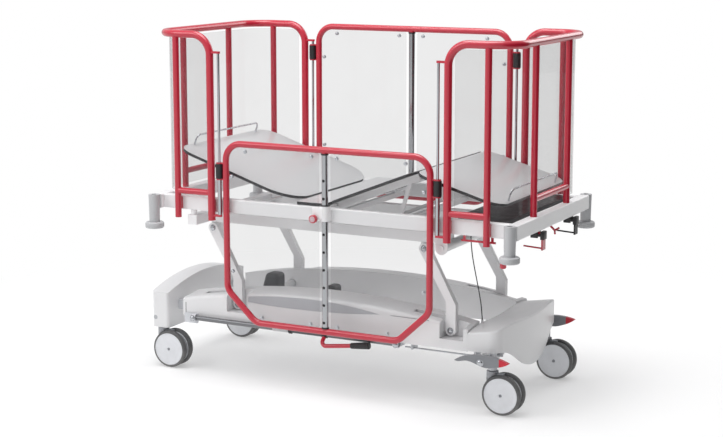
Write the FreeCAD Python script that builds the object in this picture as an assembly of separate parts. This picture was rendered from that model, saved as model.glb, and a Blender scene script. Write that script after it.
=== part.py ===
import FreeCAD, Part
import math
import os

V = FreeCAD.Vector
os.makedirs("parts", exist_ok=True)

# Hospital cot, millimetres. +X points to the foot end, -Y is the near side, +Z is up.
# The origin is on the floor under the middle of the whole cot.

# ---- upper frame
upper_mid_x = 26.0            # middle of the bed frame, along the cot
post_reach = 750.0            # corner posts, from the middle of the bed frame
post_y = 393.0                # corner posts, from the centre line
post_r = 22.5
post_low_r = 20.5
post_top_z = 721.0
bumper_r = 37.0
bumper_tall = 25.0
bumper_low_z = 588.0
pole_socket_r = 10.0
pole_socket_deep = 70.0
beam_low_z = 665.0
beam_top_z = 720.0
beam_wide = 28.0
beam_y = 340.0                # middle of each side beam
cross_beam_wide = 40.0
wall_round = 5.0

# ---- end guards
guard_y = 371.0               # plane of the side guards and of the end guards' side tubes
rail_r = 14.5
upright_r = 12.5
rung_r = 12.0
end_rail_z = 1350.5
corner_bend = 110.0
inner_post_back = 252.0       # guard's inner post, in from the corner post
second_post_back = 98.0
inner_bend = 78.0
saddle_half = 10.5            # half the block between a post and its beam
post_foot_z = 636.0
side_rung_z = 742.0
end_upright_y = 170.0
end_rung_z = 784.0
end_panel_low_z = 739.0
end_panel_top_z = 1331.0
end_panel_thick = 4.0
end_panel_from_post = 20.0    # panel's edge, from the inner post

# ---- slide rods and side guards
rod_from_post = 38.0
rod_r = 5.0
rod_low_z = 652.0
rod_top_drop = 61.5           # from the end guards' top rail down to the slide rods' upper end
stop_sleeve_r = 8.5
stop_sleeve_top_z = 796.0
side_tube_r = 12.5
side_from_post = 67.0         # side guard's end tube, in from the inner post
lowered_top_z = 940.0
guard_tall = 690.0            # bottom rail to top rail, between tube middles
raised_rail_drop = 10.0       # bottom rail of a raised guard, below the beam
guard_corner = 66.0
chamfer_from = 119.0          # above the bottom rail
chamfer_in = 128.0            # lower rail's end, in from the upright tube
chamfer_bend = 60.0
lock_tube_r = 12.0
hole_pitch = 67.5
hole_r = 3.5
hole_count = 9
first_hole = 36.0             # above the bottom rail
side_panel_thick = 4.0
panel_gap = 25.0              # clear panel's inner edge, from the lock tube's middle
panel_clear = 1.0
bush_r = 15.0
bush_tall = 57.0
bush_below_top = 138.0        # bush's lower end, below the top rail
running_gap = 0.05
lock_rail_gap = 6.5
lock_tall = 57.0
lock_sleeve_r = 20.0
knob_x = -32.0
knob_up = 10.0                # above the lock's lower end
knob_r = 15.5
knob_long = 16.0
knob_travel = 8.0

# ---- mattress platform
board_thick = 12.0
board_half = 338.0
board_gap = 0.3               # air between a resting piece and its seat
seat_from = -143.0            # back hinge, from the middle of the bed frame
seat_to = -20.0               # thigh hinge
back_from_post = 183.0         # what the back section's length leaves of the frame's half length
back_angle = 18.0
back_flat_to = 50.0
thigh_long = 394.0
thigh_angle = 21.6
leg_from_post = 398.0          # the same for the leg section
leg_angle = 16.0
hinge_split = 3.0             # air between two boards at their hinge
board_corner = 70.0
section_tube = 25.0
hinge_pin_r = 5.0
retainer_wire_r = 3.5
retainer_tall = 42.0
retainer_half = 234.0
prop_y = 240.0
prop_plate = 6.0
prop_wide = 15.0
rack_z = 686.0                # top of the notched racks
back_prop_at = 380.0          # prop pivot, from the back hinge
knee_prop_at = 330.0          # prop pivot, from the thigh hinge
tray_from_post = 44.0          # air between the tray and the corner posts' middle
tray_deep = 206.0

# ---- lift
lift_y = 240.0                # middle of each lift arm
arm_wide = 40.0
arm_deep = 24.0
foot_pivot_x = 488.0
head_pivot_x = -433.0
low_pivot_z = 281.0
arm_elbow_up = 103.0
arm_reach_back = 111.0
arm_rise = 299.0
low_shaft_r = 15.0
stub_ring = 2.4               # ring on a stub axle, inside the chassis rail
upper_pin_r = 10.0
bolt_head_r = 9.0
rail_low_z = 607.0
rail_top_z = 645.0
lift_rail_wide = 40.0
lift_tube_r = 19.0
tilt_x = 485.0
tilt_z = 605.0
tilt_pin_r = 8.0
pad_x = -574.0

# ---- base
head_stem_x = -774.0
foot_stem_x = 667.0
castor_y = 272.0
castor_trail = 45.0
wheel_r = 75.0
wheel_wide = 24.0
wheel_apart = 46.0            # between the middles of one castor's two wheels
axle_r = 7.0
castor_stem_r = 11.0
castor_top_z = 157.0
castor_housing_r = 22.0
castor_clear = 2.0            # air between a wheel and its housing
stem_boss_r = 16.0
cover_out_y = 295.0
cover_in_y = 182.0
cover_wall = 4.0
arm_sweep = 150.0             # slot in a cover's top for a swinging arm, on its head side
arm_lean = 50.0               # the same slot, on its foot side
cover_low_z = 222.0
cover_edge_z = 356.0          # highest point of a side cover's outer edge
cover_round = 14.0
pocket_wall = 2.5
pocket_gap = 1.5              # between an arm and its pocket's back wall
pocket_step = 6.0
pocket_deep = 23.0            # pocket's floor, below the arm's pivot
lens_deep = 2.0               # sunk panel on a side cover's outer wall
lens_from = -360.0
lens_to = 218.0
lens_start_high = 329.0
lens_start_low = 306.0
lens_top_z = 350.0
lens_low_z = 302.0
lens_tip_z = 321.0
cover_crown = 11.0            # extra height at the cover's inner edge
pump_bar_wide = 20.0
pump_bar_inset = 20.0         # bar's middle, from the pump cover's end
pedal_arm_wide = 16.0
pedal_arm_gap = 4.0
pedal_arm_sunk = 6.0
side_cover_from = -663.0
side_cover_to = 575.0
arch_drop = 64.0              # side cover's fall from its highest point to its head end
arch_mid_x = -20.0
head_cover_out = -813.0
head_cover_wide = 78.0
head_cover_low_z = 159.0
head_cover_top_z = 351.0
head_cover_edge_z = 302.0
foot_cover_out = 725.0
foot_bow = 22.0
foot_corner = 46.0
apron_low_z = 152.0
apron_side_z = 222.0
apron_half_y = 110.0
apron_shoulder_y = 215.0
foot_rim_z = 303.0            # highest point of the rim where the side covers meet it
foot_rim_round = 7.0
foot_crest_y = 170.0
foot_dip = 16.0               # the rim's fall from its crests to the cot's sides
foot_sag = 6.0
foot_top_slope = 9.0
foot_reach = 600.0
chassis_y = 206.0
chassis_wide = 32.0
chassis_low_z = 224.0
chassis_top_z = 262.0
side_rod_from = 568.0
side_rod_to = 700.0
side_rod_z = 645.0
side_rod_r = 4.0
pedal_bar_y = -313.0
pedal_bar_z = 222.0
pedal_bar_r = 10.0
pedal_from = -593.0
guide_gap = 0.5               # round the brake rod in its guides
bar_plate_y = -301.5          # plate behind the pedal bar's head end
bar_plate_thick = 4.0
bar_plate_wide = 60.0
bar_plate_low_z = 196.0
bar_plate_tall = 40.0
bar_plate_round = 7.0
pedal_to = 294.0
cable_r = 2.0
cable_gland_r = 5.0
cable_y = -172.0
cable_top_x = 533.0
cable_top_z = 690.0
cable_end_x = 581.0
cable_end_z = 316.0
cable_gland_tall = 24.0
cable_bends = ((531.0, 645.0), (533.0, 598.0), (539.0, 550.0), (549.0, 501.0), (560.0, 452.0),
               (570.0, 405.0), (578.0, 360.0))
cable_seat_gap = 0.5
brake_x = 665.0
brake_z = 210.0
brake_y = 352.0
brake_shaft_r = 8.0

# ---- sizes that follow from the ones above
inner_post_reach = post_reach - inner_post_back
rod_top_z = end_rail_z - rod_top_drop
second_post_reach = post_reach - second_post_back
end_panel_start = inner_post_reach + end_panel_from_post
rod_reach = inner_post_reach - rod_from_post
side_reach = inner_post_reach - side_from_post
back_long = post_reach - back_from_post
leg_long = post_reach - leg_from_post
tray_to = post_reach - tray_from_post
tray_from = tray_to - tray_deep
beam_out_y = beam_y + beam_wide / 2
beam_in_y = beam_y - beam_wide / 2
guard_low_z = lowered_top_z - guard_tall
guard_travel = beam_low_z - raised_rail_drop - guard_low_z
lock_low_z = guard_low_z + guard_travel + side_tube_r + lock_rail_gap
lock_top_z = lock_low_z + lock_tall
knob_z = lock_low_z + knob_up
side_tab = 5.0
tab_r = 13.0
near_bush_z = lowered_top_z - bush_below_top
stop_sleeve_top_z = near_bush_z - side_tab - board_gap
rod_bracket = 8.0
panel_offset = side_tube_r + panel_clear
panel_clear_end = 0.3


def box(x0, x1, y0, y1, z0, z1):
    return Part.makeBox(x1 - x0, y1 - y0, z1 - z0, V(x0, y0, z0))


def rod(x, y, z, r, long, axis=(0, 0, 1)):
    return Part.makeCylinder(r, long, V(x, y, z), V(*axis))


def fuse(*shapes):
    first, *others = shapes
    return first.fuse(others).removeSplitter() if others else first


def other_side(shape):
    return shape.mirror(V(0, 0, 0), V(0, 1, 0))


def pair(shape):
    return [shape, other_side(shape)]


def save(name, *solids):
    made = []
    for shape in solids:
        made += shape.Solids
    shape = made[0] if len(made) == 1 else Part.makeCompound(made)
    if not shape.isValid():
        print("not valid:", name)
    shape.exportStep("parts/" + name + ".step")
    print(name, len(made), "volume", round(shape.Volume / 1000, 1))


def bend_edges(points, bends, closed=False):
    """Straight runs joined by tangent arcs: one bend radius for each inner point."""
    points = [V(*p) for p in points]
    count = len(points)
    corners = range(count) if closed else range(1, count - 1)
    stops = {}
    for k, bend in zip(corners, bends):
        here, back, ahead = points[k], points[k - 1], points[(k + 1) % count]
        to_back = (back - here).normalize()
        to_ahead = (ahead - here).normalize()
        half = to_back.getAngle(to_ahead) / 2
        run = bend / math.tan(half)
        middle = (to_back + to_ahead).normalize() * (bend / math.sin(half) - bend)
        stops[k] = (here + to_back * run, here + middle, here + to_ahead * run)
    edges = []
    for k in range(count if closed else count - 1):
        after = (k + 1) % count
        start = stops[k][2] if k in stops else points[k]
        end = stops[after][0] if after in stops else points[after]
        if (end - start).Length > 0.001:
            edges.append(Part.LineSegment(start, end).toShape())
        if after in stops:
            edges.append(Part.Arc(*stops[after]).toShape())
    return edges


def bent_tube(points, bends, r):
    edges = bend_edges(points, bends)
    start = V(*points[0])
    along = V(*points[1]) - start
    section = Part.Wire([Part.makeCircle(r, start, along)])
    return Part.Wire(edges).makePipeShell([section], True, False)


def rounded_plate(points, bends, push):
    """A flat plate from a closed outline with rounded corners."""
    return Part.Face(Part.Wire(bend_edges(points, bends, closed=True))).extrude(V(*push))


# ---------------------------------------------------------------- bed frame
lever_pivot = (upper_mid_x + post_reach - 6.0, 652.0)
lever_places = (("tilt_lever", 229.0, 589.0), ("section_lever", -115.0, 589.0))


def lever_lugs(y):
    x, z = lever_pivot
    lugs = []
    for side in (-1, 1):
        low, high = sorted((y + side * 6.0, y + side * 10.0))
        lug = box(x - 6.0, x + 6.0, low, high, z - 6.0, beam_low_z)
        lugs.append(lug.cut(rod(x, low - 1, z, 3.0 + running_gap, 6.0, (0, 1, 0))))
    return lugs


def bed_frame():
    long_from = upper_mid_x - post_reach + cross_beam_wide / 2
    long_to = upper_mid_x + post_reach - cross_beam_wide / 2
    near = box(long_from, long_to, -beam_out_y, -beam_in_y, beam_low_z, beam_top_z)
    edges = [e for e in near.Edges if abs(e.tangentAt(e.FirstParameter).x) > 0.9]
    save("side_beams", *pair(near.makeFillet(wall_round, edges)))

    crosses = []
    posts = []
    for end in (-1, 1):
        x = upper_mid_x + end * post_reach
        cross_y = post_y - post_low_r
        cross = box(x - cross_beam_wide / 2, x + cross_beam_wide / 2, -cross_y, cross_y,
                    beam_low_z, beam_top_z)
        edges = [e for e in cross.Edges if abs(e.tangentAt(e.FirstParameter).y) > 0.9]
        cross = cross.makeFillet(wall_round, edges)
        for side in (-1, 1):
            y = side * post_y
            low = bumper_low_z + bumper_tall
            column = Part.makeCone(post_low_r, post_r, post_top_z - low, V(x, y, low))
            bumper = rod(x, y, bumper_low_z, bumper_r, bumper_tall)
            bumper = bumper.makeFillet(bumper_tall * 0.3, [bumper.Edges[0], bumper.Edges[2]])
            post = column.fuse(bumper)
            post = post.cut(rod(x, y, post_top_z - pole_socket_deep, pole_socket_r, pole_socket_deep))
            posts.append(post.removeSplitter())
            cross = cross.cut(rod(x, y, beam_low_z, post_r, beam_top_z - beam_low_z))
        if end > 0:
            cross = fuse(cross, *(lug for place in lever_places for lug in lever_lugs(place[1])))
        crosses.append(cross)
    save("cross_beams", *crosses)
    save("corner_posts", *posts)


# ---------------------------------------------------------------- end guards
def end_guard(name, end):
    def at(reach):
        return upper_mid_x + end * reach

    outer, inner, second = at(post_reach), at(inner_post_reach), at(second_post_reach)
    rail = bent_tube([(inner, -guard_y, post_foot_z), (inner, -guard_y, end_rail_z),
                      (outer, -guard_y, end_rail_z), (outer, guard_y, end_rail_z),
                      (inner, guard_y, end_rail_z), (inner, guard_y, post_foot_z)],
                     [inner_bend, corner_bend, corner_bend, inner_bend], rail_r)
    parts = [rail]
    low, high = min(inner, second), max(inner, second)
    rod_x = at(rod_reach)
    for side in (-1, 1):
        y = side * guard_y
        parts.append(rod(second, y, post_foot_z, upright_r, end_rail_z - post_foot_z))
        parts.append(rod(low, y, side_rung_z, rung_r, high - low, (1, 0, 0)))
        parts.append(rod(outer, side * end_upright_y, beam_top_z, upright_r, end_rail_z - beam_top_z))
        saddle_in, saddle_out = sorted((side * beam_out_y, y))
        for x in (inner, second):
            parts.append(box(x - saddle_half, x + saddle_half, saddle_in, saddle_out,
                             beam_low_z + wall_round, beam_top_z - wall_round))
        for z in (rod_low_z, rod_top_z - rod_bracket):
            near_x, far_x = sorted((rod_x, inner))
            parts.append(box(near_x, far_x, y - rod_bracket, y + rod_bracket, z, z + rod_bracket))
            parts.append(rod(rod_x, y, z, rod_bracket, rod_bracket))
    parts.append(rod(outer, -end_upright_y, end_rung_z, rung_r, 2 * end_upright_y, (0, 1, 0)))
    save("end_guard_" + name, fuse(*parts))


def end_panel(name, end):
    start = upper_mid_x + end * end_panel_start
    outline = []
    for deep in (rail_r + panel_clear_end, rail_r + panel_clear_end + end_panel_thick):
        x = upper_mid_x + end * (post_reach - deep)
        y = guard_y - deep
        outline.append(bend_edges([(start, -y, end_panel_low_z), (x, -y, end_panel_low_z),
                                   (x, y, end_panel_low_z), (start, y, end_panel_low_z)],
                                  [corner_bend - deep, corner_bend - deep]))
    outer, inner = outline
    joins = [Part.LineSegment(outer[0].Vertexes[0].Point, inner[0].Vertexes[0].Point).toShape(),
             Part.LineSegment(outer[-1].Vertexes[-1].Point, inner[-1].Vertexes[-1].Point).toShape()]
    edges = Part.sortEdges(outer + inner + joins)[0]
    sheet = Part.Face(Part.Wire(edges)).extrude(V(0, 0, end_panel_top_z - end_panel_low_z))
    save("end_panel_" + name, sheet)


def slide_rods():
    rods = []
    for end in (-1, 1):
        x = upper_mid_x + end * rod_reach
        for side in (-1, 1):
            low = rod_low_z + rod_bracket
            long = rod_top_z - rod_bracket - low
            bar = rod(x, side * guard_y, low, rod_r, long)
            stop = rod(x, side * guard_y, low, stop_sleeve_r, stop_sleeve_top_z - low)
            rods.append(fuse(bar, stop))
    save("slide_rods", *rods)


# ---------------------------------------------------------------- side guards
def guard_outline(inset):
    """Right half of the guard's loop, from the top middle to the bottom middle."""
    top, low = guard_tall - inset, inset
    side = side_reach - inset
    slope = math.atan2(chamfer_from, chamfer_in)
    up = chamfer_from - inset * math.tan(slope / 2) + inset
    across = side_reach - chamfer_in - inset * math.tan((math.pi / 2 - slope) / 2)
    return [(side, top), (side, up), (across, low)]


def side_guard(name, side, lift):
    y = side * guard_y
    z = guard_low_z + lift
    x = upper_mid_x
    corner, knee, foot = guard_outline(0)
    path = [(x, guard_tall), (x + corner[0], corner[1]), (x + knee[0], knee[1]),
            (x + foot[0], foot[1]), (x, 0)]
    half = bent_tube([(px, y, z + pz) for px, pz in path], [guard_corner, chamfer_bend, chamfer_bend],
                     side_tube_r)
    loop = half.fuse(half.mirror(V(x, 0, 0), V(1, 0, 0))).removeSplitter()
    lock_tube = rod(x, y, z, lock_tube_r, guard_tall)
    parts = [loop, lock_tube]
    bores = []
    bushes = []
    bush_z = z + guard_tall - bush_below_top
    for end in (-1, 1):
        rod_x = x + end * rod_reach
        tube_x = x + end * side_reach
        low, high = sorted((rod_x, tube_x))
        for tab_z in (bush_z - side_tab, bush_z + bush_tall):
            parts.append(box(low, high, y - tab_r / 2, y + tab_r / 2, tab_z, tab_z + side_tab))
            parts.append(rod(rod_x, y, tab_z, tab_r, side_tab))
        bores.append(rod(rod_x, y, bush_z - side_tab, rod_r + 1.0, bush_tall + 2 * side_tab))
        bush = rod(rod_x, y, bush_z, bush_r, bush_tall)
        bush = bush.cut(rod(rod_x, y, bush_z, rod_r + running_gap, bush_tall))
        bushes.append(bush)
    for k in range(hole_count):
        hole_z = z + first_hole + k * hole_pitch
        bores.append(rod(x, y, hole_z, hole_r, lock_tube_r, (0, side, 0)))
    guard = fuse(*parts).cut(bores)
    save("side_guard_" + name, guard)
    save("slide_bushes_" + name, *bushes)

    panels = []
    corner, knee, foot = guard_outline(panel_offset)
    low = y - side_panel_thick / 2
    for end in (-1, 1):
        outline = [(panel_gap, corner[1]), corner, knee, foot, (panel_gap, foot[1])]
        points = [(x + end * px, low, z + pz) for px, pz in outline]
        bends = [8.0, guard_corner - panel_offset, chamfer_bend - panel_offset,
                 chamfer_bend - panel_offset, 8.0]
        panels.append(rounded_plate(points, bends, (0, side_panel_thick, 0)))
    save("side_panels_" + name, *panels)


def guard_locks():
    bodies = []
    x = upper_mid_x
    tall = lock_top_z - lock_low_z
    sleeve = rod(x, -guard_y, lock_low_z, lock_sleeve_r, tall)
    foot_pad = box(x - lock_sleeve_r, x + lock_sleeve_r, -guard_y, -beam_out_y,
                   lock_low_z, beam_top_z - wall_round)
    housing_y = -guard_y - lock_sleeve_r - 1.0
    housing = box(x + knob_x - 11.0, x, housing_y, -guard_y - side_panel_thick, knob_z, lock_top_z - 6.0)
    boss = rod(x + knob_x, -guard_y - side_panel_thick, knob_z, 11.0, lock_sleeve_r - side_panel_thick + 4.0,
               (0, -1, 0))
    lock = fuse(sleeve, foot_pad, housing, boss)
    lock = lock.cut(box(x - 60, x + 60, -beam_out_y, -beam_in_y, lock_low_z - 1, lock_top_z + 1))
    lock = lock.cut(rod(x, -guard_y, lock_low_z, lock_tube_r + running_gap, tall))
    lock = lock.cut(rod(x + knob_x, -guard_y - lock_sleeve_r - 6.0, knob_z, 4.0 + running_gap, 16.0, (0, 1, 0)))
    save("guard_locks", *pair(lock))
    knob_y = -guard_y - lock_sleeve_r - 5.0
    knob = rod(x + knob_x, knob_y, knob_z, knob_r, knob_long, (0, -1, 0))
    knob = knob.makeFillet(2.5, [e for e in knob.Edges if e.Closed])
    plunger = rod(x + knob_x, knob_y + 14.0, knob_z, 4.0, 16.0, (0, -1, 0))
    knob = fuse(knob, plunger)
    save("lock_knob_near", knob)
    save("lock_knob_far", other_side(knob))


# ---------------------------------------------------------------- mattress platform
hinge_z = beam_top_z + board_gap - 9.3
board_low = board_gap + beam_top_z - hinge_z
board_top = board_low + board_thick
back_split = 16.0
thigh_split = 8.6
knee_split = 2.0
back_hinge_x = upper_mid_x + seat_from
thigh_hinge_x = upper_mid_x + seat_to
back_frame_y = 215.0
thigh_frame_y = 240.0
leg_frame_y = 200.0
leg_frame_long = 112.0
tray_thick = 13.0
lug_thick = 6.0
lug_r = 8.5
tube_from_hinge = 18.0
first_cross_at = 58.0
rest_bar_x = 278.0
rest_bar_top_z = 684.0
hinge_bar_top_z = 688.0
bar_wide = 20.0
prop_rod_r = 8.0
back_prop_long = 350.0
knee_prop_long = 145.0
knee_hinge = (thigh_long + knee_split / 2, 0.0)


def tilt(shape, x, z, degrees):
    """Turn about a cross-wise axis: a positive angle lifts what lies towards +X."""
    shape = shape.copy()
    shape.rotate(V(x, 0, z), V(0, -1, 0), degrees)
    return shape


def turned(px, pz, degrees):
    a = math.radians(degrees)
    return px * math.cos(a) - pz * math.sin(a), px * math.sin(a) + pz * math.cos(a)


def board(start, long, corner_start, corner_end):
    """A laminate board lying along +X from its hinge, in the hinge's own frame."""
    end = start + long
    outline = [(start, -board_half, board_low), (end, -board_half, board_low),
               (end, board_half, board_low), (start, board_half, board_low)]
    plate = rounded_plate(outline, [corner_start, corner_end, corner_end, corner_start],
                          (0, 0, board_thick))
    rims = [e for e in plate.Edges if abs(e.BoundBox.ZLength) < 0.01]
    return plate.makeFillet(2.0, rims)


def retainer(x):
    """A bent wire that keeps the mattress from sliding, standing on the board."""
    top = board_top + retainer_tall
    return bent_tube([(x, -retainer_half, board_top), (x, -retainer_half, top),
                      (x, retainer_half, top), (x, retainer_half, board_top)],
                     [22.0, 22.0], retainer_wire_r)


def hinge_lug(y, long, z=0.0):
    """Flat lug from a hinge axis to the tube that it carries."""
    plate = box(0, long, y - lug_thick / 2, y + lug_thick / 2, z - lug_r, z + lug_r)
    eye = rod(0, y - lug_thick / 2, z, lug_r, lug_thick, (0, 1, 0))
    return plate.fuse(eye)


def section_frame(y, start, long, first_cross):
    """Two long tubes and two cross tubes under a board, with hinge lugs."""
    low, high = board_low - section_tube, board_low
    half = section_tube / 2
    parts = []
    holes = []
    for side in (-1, 1):
        parts.append(box(start, long, side * y - half, side * y + half, low, high))
        parts.append(hinge_lug(side * y, start + 4.0))
        holes.append(rod(0, side * y - 10.0, 0, hinge_pin_r + running_gap, 20.0, (0, 1, 0)))
    for x in (first_cross, long - section_tube):
        parts.append(box(x, x + section_tube, -y, y, low, high))
    return fuse(*parts).cut(holes)


def flip(shape):
    """From a section that runs towards +X to one that runs towards -X."""
    return shape.mirror(V(0, 0, 0), V(1, 0, 0))


def place(shape, x, z, degrees):
    shape = shape.copy()
    shape.translate(V(x, 0, z))
    return tilt(shape, x, z, degrees)


def prop(pivot_y, long, cross_half):
    """A pair of links with a cross rod, hanging from its pivot towards -Z."""
    parts = []
    holes = []
    for side in (-1, 1):
        y = side * pivot_y
        half = prop_plate / 2
        parts.append(box(-prop_wide / 2, prop_wide / 2, y - half, y + half, -long, 0))
        for z in (0, -long):
            parts.append(rod(0, y - half, z, prop_wide / 2, prop_plate, (0, 1, 0)))
        holes.append(rod(0, y - 10.0, 0, hinge_pin_r + running_gap, 20.0, (0, 1, 0)))
    parts.append(rod(0, -cross_half, -long, prop_rod_r, 2 * cross_half, (0, 1, 0)))
    return fuse(*parts).cut(holes)


def prop_pin(x, y, side):
    """Pin that stands inward from a section's tube and carries a prop."""
    out = y - section_tube / 2
    return rod(x, side * out, 0, hinge_pin_r, prop_plate + 3.0, (0, -side, 0))


def prop_angle(section_degrees, at, long):
    """Angle above level of a prop whose cross rod rests at the racks' height."""
    height = hinge_z + at * math.sin(math.radians(section_degrees)) - (rack_z + prop_rod_r + board_gap)
    return math.degrees(math.asin(height / long))


def platform():
    seat_low = beam_top_z + board_gap
    start = back_hinge_x + hinge_split
    seat = rounded_plate([(start, -board_half, seat_low), (thigh_hinge_x, -board_half, seat_low),
                          (thigh_hinge_x, board_half, seat_low), (start, board_half, seat_low)],
                         [4.0] * 4, (0, 0, board_thick))
    save("seat_board", seat)

    back = flip(board(back_split, back_long - back_split, 4.0, board_corner))
    save("back_board", place(back, back_hinge_x, hinge_z, -back_angle))
    frame = section_frame(back_frame_y, tube_from_hinge, back_long - 90.0, back_prop_at + prop_wide)
    pins = [prop_pin(back_prop_at, back_frame_y, side) for side in (-1, 1)]
    save("back_frame", place(flip(fuse(frame, *pins)), back_hinge_x, hinge_z, -back_angle))
    wire = flip(retainer(back_long - 14.0))
    save("back_retainer", place(wire, back_hinge_x, hinge_z, -back_angle))
    lift, up = turned(-back_prop_at, 0, -back_angle)
    links_y = back_frame_y - section_tube / 2 - prop_plate / 2 - board_gap
    links = prop(links_y, back_prop_long, links_y)
    lean = 90.0 - prop_angle(back_angle, back_prop_at, back_prop_long)
    save("back_prop", place(links, back_hinge_x + lift, hinge_z + up, lean))

    thigh = board(thigh_split, thigh_long - thigh_split, 4.0, 4.0)
    save("thigh_board", place(thigh, thigh_hinge_x, hinge_z, thigh_angle))
    frame = section_frame(thigh_frame_y, tube_from_hinge, thigh_long - tube_from_hinge, first_cross_at)
    pins = [prop_pin(knee_prop_at, thigh_frame_y, side) for side in (-1, 1)]
    knee_lugs = []
    for side in (-1, 1):
        y = side * thigh_frame_y
        lug = hinge_lug(y, tube_from_hinge + 4.0).mirror(V(0, 0, 0), V(1, 0, 0))
        lug.translate(V(knee_hinge[0], 0, 0))
        knee_lugs.append(lug)
        knee_lugs.append(rod(knee_hinge[0], y, 0, hinge_pin_r, lug_thick * 1.5 + board_gap, (0, -side, 0)))
    frame = fuse(frame, *pins, *knee_lugs)
    save("thigh_frame", place(frame, thigh_hinge_x, hinge_z, thigh_angle))
    lift, up = turned(knee_prop_at, 0, thigh_angle)
    links_y = thigh_frame_y - section_tube / 2 - prop_plate / 2 - board_gap
    links = prop(links_y, knee_prop_long, links_y)
    lean = -(90.0 - prop_angle(thigh_angle, knee_prop_at, knee_prop_long))
    save("knee_prop", place(links, thigh_hinge_x + lift, hinge_z + up, lean))

    lift, up = turned(knee_hinge[0], knee_hinge[1], thigh_angle)
    knee_x, knee_z = thigh_hinge_x + lift, hinge_z + up
    leg = board(knee_split / 2, leg_long, 4.0, board_corner)
    save("leg_board", place(leg, knee_x, knee_z, -leg_angle))
    lug_y = thigh_frame_y - lug_thick - board_gap
    frame = section_frame(leg_frame_y, tube_from_hinge, leg_frame_long, first_cross_at)
    low, high = board_low - section_tube, board_low
    for side in (-1, 1):
        frame = frame.cut(box(-lug_r, tube_from_hinge, side * leg_frame_y - 12.0,
                              side * leg_frame_y + 12.0, low, high))
    parts = [frame, box(tube_from_hinge, tube_from_hinge + section_tube, -lug_y, lug_y, low, high)]
    holes = []
    for side in (-1, 1):
        parts.append(hinge_lug(side * lug_y, tube_from_hinge + 4.0))
        holes.append(rod(0, side * lug_y - 10.0, 0, hinge_pin_r + running_gap, 20.0, (0, 1, 0)))
    frame = fuse(*parts).cut(holes)
    save("leg_frame", place(frame, knee_x, knee_z, -leg_angle))
    save("leg_retainer", place(retainer(leg_long - 14.0), knee_x, knee_z, -leg_angle))
    print("knee axis", round(knee_x, 3), round(knee_z, 3))


def crossbars():
    """Cross tubes between the side beams, with the fixed hinge lugs and their pins."""
    solids = []
    for x, y in ((back_hinge_x, back_frame_y), (thigh_hinge_x, thigh_frame_y)):
        parts = [box(x - bar_wide / 2, x + bar_wide / 2, -beam_in_y, beam_in_y,
                     hinge_bar_top_z - bar_wide, hinge_bar_top_z)]
        for side in (-1, 1):
            lug_y = side * (y + lug_thick + board_gap)
            half = lug_thick / 2
            parts.append(box(x - lug_r, x + lug_r, lug_y - half, lug_y + half, hinge_bar_top_z - 2.0, hinge_z))
            parts.append(rod(x, lug_y - half, hinge_z, lug_r, lug_thick, (0, 1, 0)))
            parts.append(rod(x, lug_y, hinge_z, hinge_pin_r, lug_thick * 1.5 + board_gap, (0, -side, 0)))
        solids.append(fuse(*parts))
    rack_bar_x = back_hinge_x - 300.0
    solids.append(box(rack_bar_x - bar_wide / 2, rack_bar_x + bar_wide / 2, -beam_in_y, beam_in_y,
                      beam_low_z, rack_z - 16.0))
    solids.append(box(rest_bar_x, rest_bar_x + bar_wide, -beam_in_y, beam_in_y,
                      rest_bar_top_z - bar_wide, rest_bar_top_z))
    save("bed_crossbars", *solids)

    racks = []
    rack_y = 170.0
    start, end = back_hinge_x - 300.0 - bar_wide / 2, back_hinge_x - bar_wide / 2
    for side in (-1, 1):
        plate = box(start, end, side * rack_y - 3.0, side * rack_y + 3.0, rack_z - 16.0, rack_z - 1.0)
        notches = [rod(start + 30.0 + 32.0 * k, side * rack_y - 4.0, rack_z + 2.0, 7.0, 8.0, (0, 1, 0))
                   for k in range(8)]
        racks.append(plate.cut(notches))
    save("prop_racks", *racks)

    tray = rounded_plate([(upper_mid_x + tray_from, -beam_in_y, beam_top_z - tray_thick),
                          (upper_mid_x + tray_to, -beam_in_y, beam_top_z - tray_thick),
                          (upper_mid_x + tray_to, beam_in_y, beam_top_z - tray_thick),
                          (upper_mid_x + tray_from, beam_in_y, beam_top_z - tray_thick)],
                         [60.0, 2.0, 2.0, 60.0], (0, 0, tray_thick))
    gland = rod(cable_top_x, cable_y, cable_top_z, cable_gland_r, beam_top_z - tray_thick - cable_top_z)
    save("leg_tray", fuse(tray, gland))


# ---------------------------------------------------------------- lift
lug_gap = board_gap
arm_in_y = lift_y - arm_deep / 2
arm_out_y = lift_y + arm_deep / 2
upper_pivot_z = low_pivot_z + arm_rise
bearing_wide = 24.0
bearing_tall = 44.0


def lift_arm(x, side):
    """One cranked arm, upright to its elbow and then leaning back to its upper pivot."""
    half = arm_wide / 2
    y = side * lift_y - arm_deep / 2
    elbow = V(x, y, low_pivot_z + arm_elbow_up)
    low = V(x, y, low_pivot_z)
    high = V(x - arm_reach_back, y, upper_pivot_z)
    lean = (high - elbow).normalize()
    across = V(lean.z, 0, -lean.x) * half
    slope = math.atan2(-lean.x, lean.z)
    corner = V(half, 0, -half * math.tan(slope / 2))
    points = [low - V(half, 0, 0), elbow - corner, high - across, high + across, elbow + corner,
              low + V(half, 0, 0)]
    if slope > 0:
        points[1], points[4] = elbow - corner, elbow + corner
    arm = Part.Face(Part.makePolygon(points + [points[0]])).extrude(V(0, arm_deep, 0))
    for end in (low, high):
        arm = arm.fuse(rod(end.x, y, end.z, half, arm_deep, (0, 1, 0)))
    head_y = side * arm_out_y
    for end in (low, high):
        arm = arm.fuse(rod(end.x, head_y, end.z, bolt_head_r, 5.0, (0, side, 0)))
    pin = rod(high.x, side * arm_in_y, high.z, upper_pin_r, bearing_wide + 4.0, (0, -side, 0))
    return arm.fuse(pin)


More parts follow.
